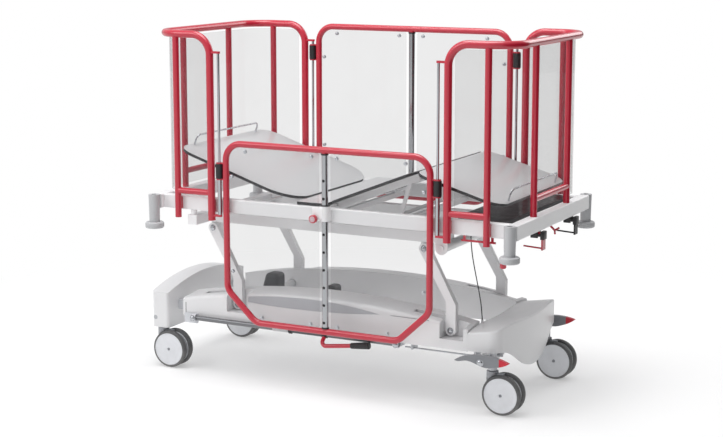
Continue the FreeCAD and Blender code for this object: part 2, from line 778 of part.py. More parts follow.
def lift_arms(name, x, through):
    """Two cranked arms on one torsion shaft, or each on a stub axle of its own that a ring keeps in place."""
    arms = [lift_arm(x, side) for side in (-1, 1)]
    if through:
        shaft = rod(x, -arm_in_y, low_pivot_z, low_shaft_r, 2 * arm_in_y, (0, 1, 0))
        save(name + "_lift_arms", fuse(shaft, *arms))
        return
    solids = []
    for side, arm in zip((-1, 1), arms):
        ring_y = chassis_y - chassis_wide / 2 - lug_gap
        axle = rod(x, side * arm_in_y, low_pivot_z, low_shaft_r, arm_in_y - ring_y + stub_ring, (0, -side, 0))
        ring = rod(x, side * ring_y, low_pivot_z, low_shaft_r + 4.0, stub_ring, (0, -side, 0))
        solids.append(fuse(arm, axle, ring))
    save(name + "_lift_arms", *solids)


def lift_frame():
    half = lift_rail_wide / 2
    head_x = head_pivot_x - arm_reach_back
    foot_x = foot_pivot_x - arm_reach_back
    parts = [rod(tilt_x, -beam_in_y, tilt_z, lift_tube_r, 2 * beam_in_y, (0, 1, 0)),
             box(pad_x - half, pad_x + half, -beam_in_y, beam_in_y, rail_low_z, rail_top_z)]
    holes = []
    block_out = arm_in_y - lug_gap
    for side in (-1, 1):
        parts.append(box(pad_x - half, tilt_x, side * lift_y - half, side * lift_y + half,
                         rail_low_z, rail_top_z))
        low, high = sorted((side * block_out, side * (block_out - bearing_wide)))
        for x in (head_x, foot_x):
            parts.append(box(x - bearing_tall / 2, x + bearing_tall / 2, low, high,
                             upper_pivot_z - 22.0, rail_low_z + 3.0))
            holes.append(rod(x, low - 1, upper_pivot_z, upper_pin_r + running_gap, bearing_wide + 2, (0, 1, 0)))
        pad_low, pad_high = sorted((side * beam_in_y, side * beam_out_y))
        parts.append(box(pad_x - half, pad_x + half, pad_low, pad_high, rail_low_z, rail_top_z))
        parts.append(rod(pad_x, side * beam_y, rail_top_z, 12.0, beam_low_z - board_gap - rail_top_z))
        holes.append(rod(tilt_x, side * beam_in_y, tilt_z, tilt_pin_r + running_gap, 30.0, (0, -side, 0)))
    save("lift_frame", fuse(*parts).cut(holes))

    brackets = []
    for side in (-1, 1):
        low, high = sorted((side * (beam_in_y + lug_gap), side * (beam_in_y + 8.0)))
        plate = box(tilt_x - 24.0, tilt_x + 24.0, low, high, tilt_z, beam_low_z)
        plate = plate.fuse(rod(tilt_x, low, tilt_z, 24.0, high - low, (0, 1, 0)))
        pin = rod(tilt_x, side * (beam_in_y + 12.0), tilt_z, tilt_pin_r, 38.0, (0, -side, 0))
        head = rod(tilt_x, side * (beam_in_y + 8.0), tilt_z, 12.0, 6.0, (0, side, 0))
        brackets.append(fuse(plate, pin, head))
    save("tilt_brackets", *brackets)


# ---------------------------------------------------------------- base
boss_low_z = castor_top_z + 3.0
pump_low_z = 250.0
pump_bays = ((-470.0, -378.0, 115.0), (-190.0, -116.0, 92.0))
pump_cover_half = 35.0
pump_cover_lean = 34.0        # how far a pump cover's top stands in from its head end
pump_cover_round = 16.0
brake_rod_y = -246.0
brake_rod_z = 196.0
brake_rod_from = 300.0
brake_rod_to = 657.0
brake_rod_r = 3.0


def chassis():
    parts = []
    holes = []
    half = chassis_wide / 2
    for side in (-1, 1):
        parts.append(box(head_stem_x, foot_stem_x, side * chassis_y - half, side * chassis_y + half,
                         chassis_low_z, chassis_top_z))
        for x in (head_pivot_x, foot_pivot_x):
            parts.append(box(x - 26.0, x + 26.0, side * chassis_y - half, side * chassis_y + half,
                             chassis_top_z, low_pivot_z + 24.0))
            holes.append(rod(x, side * chassis_y - 20.0, low_pivot_z, low_shaft_r + running_gap, 40.0, (0, 1, 0)))
    for x in (head_stem_x, foot_stem_x):
        parts.append(box(x - stem_boss_r, x + stem_boss_r, -castor_y, castor_y, chassis_low_z, chassis_top_z))
        for side in (-1, 1):
            parts.append(rod(x, side * castor_y, boss_low_z, stem_boss_r, chassis_top_z - boss_low_z))
            holes.append(rod(x, side * castor_y, boss_low_z, castor_stem_r + running_gap,
                             brake_z - boss_low_z))
    for x in (pedal_from - pedal_arm_gap, pedal_to + pedal_arm_gap):
        start = x - pedal_arm_wide / 2
        arm = box(start, start + pedal_arm_wide, pedal_bar_y, -chassis_y, pedal_bar_z - 12.0,
                  chassis_low_z + pedal_arm_sunk)
        parts.append(arm.fuse(rod(start, pedal_bar_y, pedal_bar_z, 15.0, pedal_arm_wide, (1, 0, 0))))
        holes.append(rod(start - 1.0, pedal_bar_y, pedal_bar_z, pedal_bar_r + running_gap,
                         pedal_arm_wide + 2.0, (1, 0, 0)))
    plate = box(pedal_from - bar_plate_wide, pedal_from + pedal_arm_gap, bar_plate_y, bar_plate_y + bar_plate_thick,
                bar_plate_low_z, bar_plate_low_z + bar_plate_tall)
    parts.append(plate.makeFillet(bar_plate_round, [e for e in plate.Edges if e.BoundBox.YLength > 1.0]))
    for start, end, tall in pump_bays:
        for x in (start + pump_bar_inset, end - pump_bar_inset):
            parts.append(box(x - pump_bar_wide / 2, x + pump_bar_wide / 2, -chassis_y, chassis_y,
                             chassis_low_z, pump_low_z))
    for x in (brake_rod_from + 30.0, brake_rod_to - 70.0):
        guide = box(x - 4.0, x + 4.0, brake_rod_y - 6.0, -chassis_y, brake_rod_z - 6.0, chassis_low_z + 6.0)
        parts.append(guide)
        holes.append(rod(x - 5.0, brake_rod_y, brake_rod_z, brake_rod_r + guide_gap, 10.0, (1, 0, 0)))
    for side in (-1, 1):
        low, high = sorted((side * chassis_y, side * (chassis_y + 10.0)))
        parts.append(box(brake_x - 16.0, brake_x + 16.0, low, high, brake_z - 14.0, chassis_low_z + 2.0))
    holes.append(rod(brake_x, -brake_y, brake_z, brake_shaft_r + running_gap, 2 * brake_y, (0, 1, 0)))
    save("base_chassis", fuse(*parts).cut(holes))


def arch_z(x, raise_by=0.0):
    """Height of a side cover's top edge: one circle through its crown and its head end."""
    run = arch_mid_x - side_cover_from
    radius = (run * run + arch_drop * arch_drop) / (2 * arch_drop)
    return cover_edge_z + raise_by - radius + math.sqrt(radius * radius - (x - arch_mid_x) ** 2)


def side_cover(name, side):
    """Long moulded box, open below, with an arched top that climbs to its inner edge."""
    def section_face(inset, drop):
        def edge(y, raise_by):
            ends = [V(x, y, arch_z(x, raise_by) - drop) for x in
                    (side_cover_from + inset, (side_cover_from + side_cover_to) / 2, side_cover_to - inset)]
            return ends
        faces = []
        for y, raise_by in ((cover_out_y - inset, 0.0), (cover_in_y + inset, cover_crown)):
            start, middle, end = edge(side * y, raise_by)
            low = cover_low_z - (10.0 if inset else 0.0)
            faces.append(Part.Wire([Part.Arc(start, middle, end).toShape(),
                                    Part.LineSegment(end, V(end.x, end.y, low)).toShape(),
                                    Part.LineSegment(V(end.x, end.y, low), V(start.x, start.y, low)).toShape(),
                                    Part.LineSegment(V(start.x, start.y, low), start).toShape()]))
        return Part.makeLoft(faces, True, True)

    def rounded(shape, y, radius):
        crown = []
        for e in shape.Edges:
            b = e.BoundBox
            outer_edge = abs(abs(b.YMin) - y) < 0.01 and b.YLength < 0.01
            if outer_edge and b.XLength > 300 and b.ZMax > cover_low_z + 60:
                crown.append(e)
        return shape.makeFillet(radius, crown)

    outer = rounded(section_face(0.0, 0.0), cover_out_y, cover_round)
    inner = rounded(section_face(cover_wall, cover_wall), cover_out_y - cover_wall, cover_round - cover_wall)
    shell = outer.cut(inner)
    pockets = [arm_pocket(x, side, pocket_wall).common(inner) for x in (head_pivot_x, foot_pivot_x)]
    shell = fuse(shell, *pockets)
    cuts = []
    low, high = sorted((side * (cover_in_y + cover_wall), side * arm_in_y))
    for x in (head_pivot_x, foot_pivot_x):
        cuts.append(arm_pocket(x, side, 0.0))
        cuts.append(rod(x, low, low_pivot_z, low_shaft_r + 3.0, high - low, (0, 1, 0)))
    x, half = head_pivot_x, low_shaft_r + 3.0
    low, high = sorted((side * (cover_in_y - 1.0), side * (cover_in_y + cover_wall + 1.0)))
    slot = rod(x, low, low_pivot_z, half, high - low, (0, 1, 0))
    cuts.append(slot.fuse(box(x - half, x + half, low, high, cover_low_z - 1.0, low_pivot_z)))
    low, high = sorted((side * (cover_in_y - 1.0), side * (cover_in_y + cover_wall + 1.0)))
    for start, end, tall in pump_bays:
        for x in (start + pump_bar_inset, end - pump_bar_inset):
            half = pump_bar_wide / 2 + board_gap
            cuts.append(box(x - half, x + half, low, high, cover_low_z - 1.0, pump_low_z + board_gap))
    cuts += [rail_window(x - 2 * cover_wall, side) for x in (side_cover_from, side_cover_to)]
    if side < 0:
        half = pedal_arm_wide / 2 + board_gap
        for x in (pedal_from - pedal_arm_gap, pedal_to + pedal_arm_gap):
            cuts.append(box(x - half, x + half, -cover_out_y - 1.0, -cover_out_y + cover_wall + 1.0,
                            cover_low_z - 1.0, chassis_low_z + pedal_arm_sunk + board_gap))
    save("base_cover_" + name, shell.cut(cuts).cut(recess(side)))


def arm_pocket(x, side, grow):
    """Room for a lift arm's lower end in a side cover, grown all round by a wall where the pocket needs one."""
    inside = arm_in_y - pocket_gap - grow
    top = cover_edge_z + 60.0
    low, high = sorted((side * inside, side * (cover_out_y + 1.0)))
    foot = box(x - arm_wide / 2 - 5.0 - grow, x + arm_wide / 2 + arm_lean + grow, low, high,
               low_pivot_z - pocket_deep - grow, top)
    low, high = sorted((side * inside, side * (arm_out_y + 6.0 + grow)))
    return foot.fuse(box(x - arm_sweep - grow, x, low, high, low_pivot_z - pocket_step - grow, top))


def recess(side):
    """Lens-shaped shallow panel on the cover's outer wall, between two arcs."""
    low, high = sorted((side * (cover_out_y - lens_deep), side * (cover_out_y + 1.0)))
    middle = (lens_from + lens_to) / 2
    tip = V(lens_to, low, lens_tip_z)
    start_high, start_low = V(lens_from, low, lens_start_high), V(lens_from, low, lens_start_low)
    wire = Part.Wire([Part.Arc(start_high, V(middle, low, lens_top_z), tip).toShape(),
                      Part.Arc(tip, V(middle, low, lens_low_z), start_low).toShape(),
                      Part.LineSegment(start_low, start_high).toShape()])
    return Part.Face(wire).extrude(V(0, high - low, 0))


def rail_window(x, side):
    """Hole in an end cover's inner wall for one chassis rail."""
    half = chassis_wide / 2 + board_gap
    y = side * chassis_y
    return box(x, x + 4 * cover_wall, y - half, y + half, chassis_low_z - board_gap, chassis_top_z + board_gap)


def head_cover():
    inside = head_cover_out + head_cover_wide

    def profile(x, inset):
        y, top, edge = cover_out_y - inset, head_cover_top_z - inset, head_cover_edge_z - inset
        low = head_cover_low_z - (10.0 if inset else 0.0)
        left, right = V(x, -y, edge), V(x, y, edge)
        wire = Part.Wire([Part.Arc(left, V(x, 0, top), right).toShape(),
                          Part.LineSegment(right, V(x, y, low)).toShape(),
                          Part.LineSegment(V(x, y, low), V(x, -y, low)).toShape(),
                          Part.LineSegment(V(x, -y, low), left).toShape()])
        return Part.Face(wire)

    outer = profile(head_cover_out, 0.0).extrude(V(head_cover_wide, 0, 0))
    upright = [e for e in outer.Edges if e.BoundBox.ZLength > 100 and e.BoundBox.YLength < 0.01]
    outer = outer.makeFillet(14.0, upright)
    inner = profile(head_cover_out + cover_wall, cover_wall).extrude(V(head_cover_wide - 2 * cover_wall, 0, 0))
    windows = [rail_window(inside - 2 * cover_wall, side) for side in (-1, 1)]
    save("base_cover_head", outer.cut(inner).cut(windows))


def foot_cover():
    """Bowed end shell: its top dips between raised corners and its lower edge is an apron."""
    back = side_cover_to + board_gap
    side_end = foot_cover_out - foot_bow - foot_corner
    out_y = cover_out_y

    def plan(inset):
        y = out_y - inset
        radius = foot_corner - inset
        turn = radius * (1 - math.sqrt(0.5))
        x = side_end + radius
        middle = V(foot_cover_out - inset, 0, 0)
        near, far = V(side_end, -y, 0), V(side_end, y, 0)
        start, end = V(x, -y + radius, 0), V(x, y - radius, 0)
        return Part.Face(Part.Wire([
            Part.LineSegment(V(back + inset, -y, 0), near).toShape(),
            Part.Arc(near, V(x - turn, -y + turn, 0), start).toShape(),
            Part.Arc(start, middle, end).toShape(),
            Part.Arc(end, V(x - turn, y - turn, 0), far).toShape(),
            Part.LineSegment(far, V(back + inset, y, 0)).toShape(),
            Part.LineSegment(V(back + inset, y, 0), V(back + inset, -y, 0)).toShape()]))

    def across(points, floor):
        """Solid below a smooth line drawn across the cot."""
        line = [V(0, y, z) for y, z in points]
        curve = Part.BSplineCurve()
        curve.interpolate(line)
        corners = [line[-1], V(0, line[-1].y, floor), V(0, line[0].y, floor), line[0]]
        sides = [Part.LineSegment(p, q).toShape() for p, q in zip(corners, corners[1:])]
        return Part.Face(Part.Wire([curve.toShape()] + sides)).extrude(V(foot_reach, 0, 0))

    block = plan(0.0).extrude(V(0, 0, foot_reach))
    hollow = plan(cover_wall).extrude(V(0, 0, foot_reach))
    over = out_y + 20.0
    top = across([(-over, foot_rim_z - foot_dip), (-foot_crest_y, foot_rim_z), (0, foot_rim_z - foot_sag),
                  (foot_crest_y, foot_rim_z), (over, foot_rim_z - foot_dip)], -foot_reach)
    top.translate(V(back - out_y, 0, 0))
    top.rotate(V(back, 0, foot_rim_z), V(0, 1, 0), -foot_top_slope)
    inside = top.copy()
    inside.translate(V(0, 0, -cover_wall))
    outer = block.common(top)
    rim = [e for e in outer.Edges if e.BoundBox.ZMin > foot_rim_z - foot_dip - 15.0 and e.BoundBox.XLength > 1.0]
    outer = outer.makeFillet(foot_rim_round, rim)
    shell = outer.cut(hollow.common(inside))
    below = across([(-over, apron_side_z), (-apron_shoulder_y, apron_side_z - 10.0), (-apron_half_y, apron_low_z),
                    (apron_half_y, apron_low_z), (apron_shoulder_y, apron_side_z - 10.0), (over, apron_side_z)], -50.0)
    below.translate(V(back - 50.0, 0, 0))
    windows = [rail_window(back - cover_wall, side) for side in (-1, 1)]
    gland = rod(cable_end_x, cable_y, cable_end_z - cable_gland_tall, cable_gland_r, cable_gland_tall - cable_seat_gap)
    shell = fuse(shell.cut(below).cut(windows), gland.cut(hollow.common(inside)))
    save("base_cover_foot", shell)


def castor(name, x, y):
    wheel_x = x + castor_trail
    core_half = (wheel_apart - wheel_wide) / 2 - 0.5
    stem_top = brake_z - brake_shaft_r - 2.0
    low = wheel_r + 25.0
    parts = [rod(x, y, castor_top_z, castor_stem_r, stem_top - castor_top_z),
             rod(x, y, castor_top_z - 26.0, castor_housing_r, 26.0),
             box(x - castor_housing_r + 2.0, wheel_x, y - core_half, y + core_half, low - 20.0, castor_top_z - 8.0),
             rod(wheel_x, y - core_half, wheel_r, 60.0, 2 * core_half, (0, 1, 0)),
             rod(wheel_x, y - wheel_apart / 2 - wheel_wide / 2 + 6.0, wheel_r, axle_r,
                 wheel_apart + wheel_wide - 12.0, (0, 1, 0))]
    sweeps = []
    for side in (-1, 1):
        inner = y + side * core_half
        sweeps.append(rod(wheel_x, inner, wheel_r, wheel_r + castor_clear, wheel_wide + 10.0, (0, side, 0)))
    axle = parts.pop()
    save("castor_fork_" + name, fuse(fuse(*parts).cut(sweeps), axle))

    wheels = []
    for side in (-1, 1):
        inner = y + side * (wheel_apart - wheel_wide) / 2
        outer = y + side * (wheel_apart + wheel_wide) / 2
        face = outer - side * 3.0
        cap = outer - side * 6.0
        profile = [V(wheel_x + axle_r + running_gap, inner, wheel_r), V(wheel_x + wheel_r - 5.0, inner, wheel_r),
                   V(wheel_x + wheel_r, inner + side * 6.0, wheel_r), V(wheel_x + wheel_r, outer - side * 8.0, wheel_r),
                   V(wheel_x + wheel_r - 6.0, outer, wheel_r), V(wheel_x + wheel_r - 10.0, outer, wheel_r),
                   V(wheel_x + wheel_r - 12.0, face, wheel_r), V(wheel_x, outer - side * 1.0, wheel_r),
                   V(wheel_x, cap + side * 0.1, wheel_r), V(wheel_x + axle_r + running_gap, cap + side * 0.1, wheel_r)]
        face_shape = Part.Face(Part.makePolygon(profile + [profile[0]]))
        wheels.append(face_shape.revolve(V(wheel_x, y, wheel_r), V(0, 1, 0), 360))
    save("castor_wheels_" + name, *wheels)


def pump():
    """Two domed covers that lean back at their head end, cut out round the lift's shaft."""
    shaft_hole = rod(head_pivot_x, -120.0, low_pivot_z, low_shaft_r + 2.0, 240.0, (0, 1, 0))
    parts = []
    for start, end, tall in pump_bays:
        top = pump_low_z + tall
        side = [V(start, -pump_cover_half, pump_low_z), V(end, -pump_cover_half, pump_low_z),
                V(end, -pump_cover_half, top), V(start + pump_cover_lean, -pump_cover_half, top)]
        body = Part.Face(Part.makePolygon(side + [side[0]])).extrude(V(0, 2 * pump_cover_half, 0))
        rims = [e for e in body.Edges if e.BoundBox.ZMax > top - 1 or e.BoundBox.ZLength > 20]
        body = body.makeFillet(pump_cover_round, rims)
        parts.append(body.cut(shaft_hole))
    save("pump_unit", *parts)


def pump_pedal():
    bar = rod(pedal_from - 14.0, pedal_bar_y, pedal_bar_z, pedal_bar_r, pedal_to - pedal_from + 28.0, (1, 0, 0))
    start = pedal_stalk_x
    path = [(start, pedal_bar_y, pedal_bar_z), (start - 8.0, pedal_grip_y, pedal_bar_z - 40.0),
            (pedal_grip_x, pedal_grip_y, pedal_grip_z)]
    stalk = bent_tube(path, [pedal_stalk_bend], pedal_stalk_r)
    save("pump_pedal", fuse(bar, stalk))
    along = V(pedal_grip_x, pedal_grip_y, pedal_grip_z) - V(*path[1])
    grip = Part.makeCone(11.0, 14.0, pedal_grip_long, V(pedal_grip_x, pedal_grip_y, pedal_grip_z), along)
    grip = grip.makeFillet(4.0, [e for e in grip.Edges if e.Closed])
    save("pump_grip", grip)


pedal_stalk_x = -6.0
pedal_stalk_r = 8.0
pedal_stalk_bend = 20.0
pedal_grip_x = 118.0
pedal_grip_y = -340.0
pedal_grip_z = 199.0
pedal_grip_long = 80.0
brake_thick = 16.0
brake_head_side = ((8.0, 21.0), (-43.0, 18.0), (-83.0, 9.0), (-117.0, -8.0))
brake_foot_side = ((55.0, 14.0), (96.0, 0.0))
brake_under = ((71.0, -12.0), (44.0, -19.0), (0.0, -23.0), (-34.0, -13.0), (-75.0, -6.0), (-107.0, -11.0))
brake_far_up = 8.0            # far pedal, turned up from the near one


def brakes():
    parts = [rod(brake_x, -brake_y, brake_z, brake_shaft_r, 2 * brake_y, (0, 1, 0))]
    for side in (-1, 1):
        low, high = sorted((side * brake_y, side * (brake_y - brake_thick)))
        left, right = brake_head_side[-1], brake_foot_side[-1]
        over = [left] + list(brake_head_side[-2::-1]) + list(brake_foot_side)
        edges = []
        for line in (over, [right] + list(brake_under) + [left]):
            curve = Part.BSplineCurve()
            curve.interpolate([V(brake_x + x, low, brake_z + z) for x, z in line])
            edges.append(curve.toShape())
        lever = Part.Face(Part.Wire(edges)).extrude(V(0, high - low, 0))
        if side > 0:
            lever.rotate(V(brake_x, 0, brake_z), V(0, 1, 0), -brake_far_up)
        parts.append(lever)
    crank_y = brake_rod_y - 4.0
    parts.append(box(brake_x - 7.0, brake_x + 7.0, crank_y, crank_y + 8.0, brake_rod_z - 8.0, brake_z))
    save("brake_pedals", fuse(*parts))
    link = rod(brake_rod_from, brake_rod_y, brake_rod_z, brake_rod_r, brake_rod_to - brake_rod_from, (1, 0, 0))
    save("brake_rod", link)


def foot_levers():
    for name, y, strap_low in lever_places:
        x, z = lever_pivot
        bar = box(x - 66.0, x + 28.0, y - 4.0, y + 4.0, z - 4.0, z + 4.0)
        strap = box(x + 22.0, x + 28.0, y - 15.0, y + 15.0, strap_low, z + 4.0)
        strap = strap.makeFillet(2.0, [e for e in strap.Edges if e.BoundBox.ZLength < 0.1])
        pin = rod(x, y - 12.0, z, 3.0, 24.0, (0, 1, 0))
        save(name, fuse(bar, strap, pin))


def side_rod():
    bar = rod(side_rod_from, -beam_y, side_rod_z, side_rod_r, side_rod_to - side_rod_from, (1, 0, 0))
    hangers = [box(x - side_rod_r, x + side_rod_r, -beam_y - side_rod_r, -beam_y + side_rod_r, side_rod_z, beam_low_z)
               for x in (side_rod_from + 12.0, side_rod_to - 12.0)]
    save("side_rod", fuse(bar, *hangers))


def cord_tube(points, r):
    """Straight runs joined by arcs as large as the runs allow."""
    bends = []
    for back, here, ahead in zip(points, points[1:], points[2:]):
        a, b = V(*here) - V(*back), V(*ahead) - V(*here)
        turn = a.getAngle(b)
        bends.append(0.45 * min(a.Length, b.Length) / math.tan(turn / 2))
    print("cord radii", [round(b, 1) for b in bends])
    tube = bent_tube(points, bends, r)
    length = sum(e.Length for e in bend_edges(points, bends))
    print("cord length", round(length, 1), "volume share", round(tube.Volume / (math.pi * r * r * length), 4))
    return tube


def control_cable():
    bends = [(x, cable_y, z) for x, z in cable_bends]
    route = [(cable_top_x, cable_y, cable_top_z)] + bends + [(cable_end_x, cable_y, cable_end_z)]
    save("control_cable", cord_tube(route, cable_r))


bed_frame()
for name, end in (("head", -1), ("foot", 1)):
    end_guard(name, end)
    end_panel(name, end)
slide_rods()
side_guard("near", -1, 0.0)
side_guard("far", 1, guard_travel)
guard_locks()
platform()
crossbars()
lift_arms("head", head_pivot_x, True)
lift_arms("foot", foot_pivot_x, False)
lift_frame()
chassis()
side_cover("near", -1)
side_cover("far", 1)
head_cover()
foot_cover()
for name, x, side in (("head_near", head_stem_x, -1), ("head_far", head_stem_x, 1),
                      ("foot_near", foot_stem_x, -1), ("foot_far", foot_stem_x, 1)):
    castor(name, x, side * castor_y)
pump()
pump_pedal()
brakes()
foot_levers()
side_rod()
control_cable()
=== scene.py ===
import math
import bpy
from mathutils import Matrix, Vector


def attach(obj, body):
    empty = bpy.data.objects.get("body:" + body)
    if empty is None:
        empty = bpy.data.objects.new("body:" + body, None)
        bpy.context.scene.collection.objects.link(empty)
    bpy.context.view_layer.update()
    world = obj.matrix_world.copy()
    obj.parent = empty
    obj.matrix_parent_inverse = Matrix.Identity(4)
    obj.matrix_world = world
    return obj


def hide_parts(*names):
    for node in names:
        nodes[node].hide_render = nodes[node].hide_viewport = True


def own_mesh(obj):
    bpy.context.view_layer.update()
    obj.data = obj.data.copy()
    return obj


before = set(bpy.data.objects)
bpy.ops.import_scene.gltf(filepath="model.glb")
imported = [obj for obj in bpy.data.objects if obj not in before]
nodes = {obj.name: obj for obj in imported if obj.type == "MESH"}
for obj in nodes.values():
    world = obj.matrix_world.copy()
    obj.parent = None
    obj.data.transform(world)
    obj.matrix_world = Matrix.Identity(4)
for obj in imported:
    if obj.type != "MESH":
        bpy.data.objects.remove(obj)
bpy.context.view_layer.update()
print("stage: frame loaded,", len(nodes), "nodes")


# Node tools. A feed is a plain value or another node's output.
def feed(tree, node, feeds):
    for key, value in feeds.items():
        if isinstance(value, bpy.types.NodeSocket):
            tree.links.new(value, node.inputs[key])
        else:
            node.inputs[key].default_value = value


def addNode(tree, kind, feeds=None, **settings):
    node = tree.nodes.new("ShaderNode" + kind)
    for key, value in settings.items():
        setattr(node, key, value)
    feed(tree, node, feeds or {})
    return node


def calculate(tree, operation, *feeds):
    return addNode(tree, "Math", dict(enumerate(feeds)), operation=operation).outputs[0]


def combine(tree, operation, *feeds):
    return addNode(tree, "VectorMath", dict(enumerate(feeds)), operation=operation).outputs[0]


def remap(tree, value, span, result, **settings):
    feeds = {"Value": value, "From Min": span[0], "From Max": span[1],
             "To Min": result[0], "To Max": result[1]}
    return addNode(tree, "MapRange", feeds, **settings).outputs["Result"]


def mixShaders(tree, share, first, second):
    return addNode(tree, "MixShader", {0: share, 1: first.outputs[0], 2: second.outputs[0]}).outputs[0]


def emptyTree(owner):
    owner.use_nodes = True
    owner.node_tree.nodes.clear()
    return owner.node_tree


# Object tools
def freshStart():
    if bpy.context.object and bpy.context.object.mode != "OBJECT":
        bpy.ops.object.mode_set(mode="OBJECT")
    bpy.ops.object.select_all(action="DESELECT")


def only(piece):
    freshStart()
    piece.select_set(True)
    bpy.context.view_layer.objects.active = piece


def addObject(name, data):
    added = bpy.data.objects.new(name, data)
    bpy.context.scene.collection.objects.link(added)
    return added


# Camera, lamps, room and floor
camera = {"turn": 27.3431, "pitch": 9.2649, "place": (2.8823, -5.5987, 1.7641), "lens": 80.905,
          "sensor": 36.0, "shift": -0.04, "farthest": 60.0}
lampAim = (0.0, 0.0, 0.6)
lamps = {
    "keyLamp": {"place": (-3.0, -3.6, 3.6), "size": 2.8, "watts": 64.0},
    "topLamp": {"place": (-0.2, -0.6, 4.4), "size": 3.0, "watts": 122.0},
    "rimLamp": {"place": (1.8, 3.8, 3.2), "size": 3.0, "watts": 60.0},
}
white = (1.0, 1.0, 1.0, 1.0)
studio = {"tint": (0.985, 0.985, 1.0, 1.0), "brightWay": (-0.72, -0.42, 0.55), "turnFrom": -0.7,
          "turnTo": 0.6, "dim": 0.26, "bright": 0.70}
paper = {"radius": 14.0, "sides": 96, "drop": 0.001, "colour": (0.93, 0.93, 0.93, 1.0), "roughness": 0.85,
         "specular": 0.2, "fadeFrom": 1.1, "fadeTo": 2.5, "leastFade": 0.35}
screen = {"x": 2.5, "y": (-2.4, 2.6), "z": (0.02, 2.5), "colour": (0.02, 0.02, 0.02, 1.0), "roughness": 0.9}


def addCamera():
    data = bpy.data.cameras.new("camera")
    data.lens = camera["lens"]
    data.sensor_width = camera["sensor"]
    data.shift_y = camera["shift"]
    data.clip_end = camera["farthest"]
    eye = addObject("camera", data)
    eye.location = camera["place"]
    eye.rotation_euler = (math.radians(90.0 - camera["pitch"]), 0.0, math.radians(camera["turn"]))
    bpy.context.scene.camera = eye


def addLamps():
    for name, lamp in lamps.items():
        data = bpy.data.lights.new(name, "AREA")
        data.shape = "DISK"
        data.size = lamp["size"]
        data.energy = lamp["watts"]
        light = addObject(name, data)
        light.location = lamp["place"]
        light.rotation_euler = (Vector(lampAim) - light.location).to_track_quat("-Z", "Y").to_euler()


def addDarkScreen():
    # hidden from the camera, it gives metal and gloss something dark to reflect
    freshStart()
    bpy.ops.mesh.primitive_plane_add(size=2.0, location=(0.0, 0.0, 0.0))
    sheet = bpy.context.object
    sheet.name = "darkScreen"
    corners = [(y, z) for z in screen["z"] for y in screen["y"]]
    for point, (y, z) in zip(sheet.data.vertices, corners):
        point.co = (screen["x"], y, z)
    cloth = bpy.data.materials.new("darkCloth")
    cloth.use_nodes = True
    feed(cloth.node_tree, cloth.node_tree.nodes["Principled BSDF"],
         {"Base Color": screen["colour"], "Roughness": screen["roughness"]})
    sheet.data.materials.append(cloth)
    sheet.visible_camera = False


def addWorld():
    # camera and transmission rays see plain white, all others a room that is brighter on one side
    world = bpy.data.worlds.new("studio")
    tree = emptyTree(world)
    way = addNode(tree, "TexCoord").outputs["Generated"]
    facing = addNode(tree, "VectorMath", {0: way, 1: studio["brightWay"]}, operation="DOT_PRODUCT")
    glow = remap(tree, facing.outputs["Value"], (studio["turnFrom"], studio["turnTo"]),
                 (studio["dim"], studio["bright"]), interpolation_type="SMOOTHSTEP")
    room = addNode(tree, "Background", {"Color": studio["tint"], "Strength": glow})
    seen = addNode(tree, "Background", {"Color": white, "Strength": 1.0})
    path = addNode(tree, "LightPath").outputs
    direct = calculate(tree, "MAXIMUM", path["Is Camera Ray"], path["Is Transmission Ray"])
    addNode(tree, "OutputWorld", {"Surface": mixShaders(tree, direct, room, seen)})
    bpy.context.scene.world = world
    bpy.context.scene.view_settings.view_transform = "Standard"


def addFloor():
    # pale paper that fades into the white background
    freshStart()
    bpy.ops.mesh.primitive_circle_add(vertices=paper["sides"], radius=paper["radius"], fill_type="NGON",
                                      location=(0.0, 0.0, -paper["drop"]))
    floor = bpy.context.object
    floor.name = "floor"
    material = bpy.data.materials.new("floorPaper")
    tree = emptyTree(material)
    matt = addNode(tree, "BsdfPrincipled", {"Base Color": paper["colour"], "Roughness": paper["roughness"],
                                            "Specular IOR Level": paper["specular"]})
    glow = addNode(tree, "Emission", {"Color": white})
    place = addNode(tree, "TexCoord").outputs["Object"]
    distance = addNode(tree, "VectorMath", {0: place}, operation="LENGTH").outputs["Value"]
    fade = remap(tree, distance, (paper["fadeFrom"], paper["fadeTo"]), (paper["leastFade"], 1.0))
    addNode(tree, "OutputMaterial", {"Surface": mixShaders(tree, fade, matt, glow)})
    floor.data.materials.append(material)


addCamera()
addLamps()
addDarkScreen()
addWorld()
addFloor()
print("stage: camera, lamps and room")


# Finishes. Each effect is one node group with its own sockets; each material sets its own values.
grain = {"driftDetail": 3.0, "grainDetail": 2.0, "smearScale": 17.0, "smearDetail": 4.0,
         "smearRoughness": 0.65, "smearSpan": (0.35, 0.7)}
settledDust = {"colour": (0.4, 0.39, 0.37, 1.0), "top": 0.2, "amount": 0.3, "scale": 45.0, "detail": 5.0}
steepest = 0.5  # of a face's normal, upward, on a board's edge
midGrey = (0.8, 0.8, 0.8, 1.0)
mixSockets = {"RGBA": (6, 7, 2), "FLOAT": (2, 3, 0)}  # the mix node's two inputs and its output


def mixed(tree, kind, share, first, second):
    low, high, out = mixSockets[kind]
    return addNode(tree, "Mix", {0: share, low: first, high: second}, data_type=kind).outputs[out]


def effectGroup(name, inputs, outputs):
    group = bpy.data.node_groups.new(name, "ShaderNodeTree")
    for label, kind, value in inputs:
        socket = group.interface.new_socket(name=label, in_out="INPUT", socket_type="NodeSocket" + kind)
        if value is not None:
            socket.default_value = value
    for label, kind in outputs:
        group.interface.new_socket(name=label, in_out="OUTPUT", socket_type="NodeSocket" + kind)
    return group, group.nodes.new("NodeGroupInput").outputs, group.nodes.new("NodeGroupOutput")


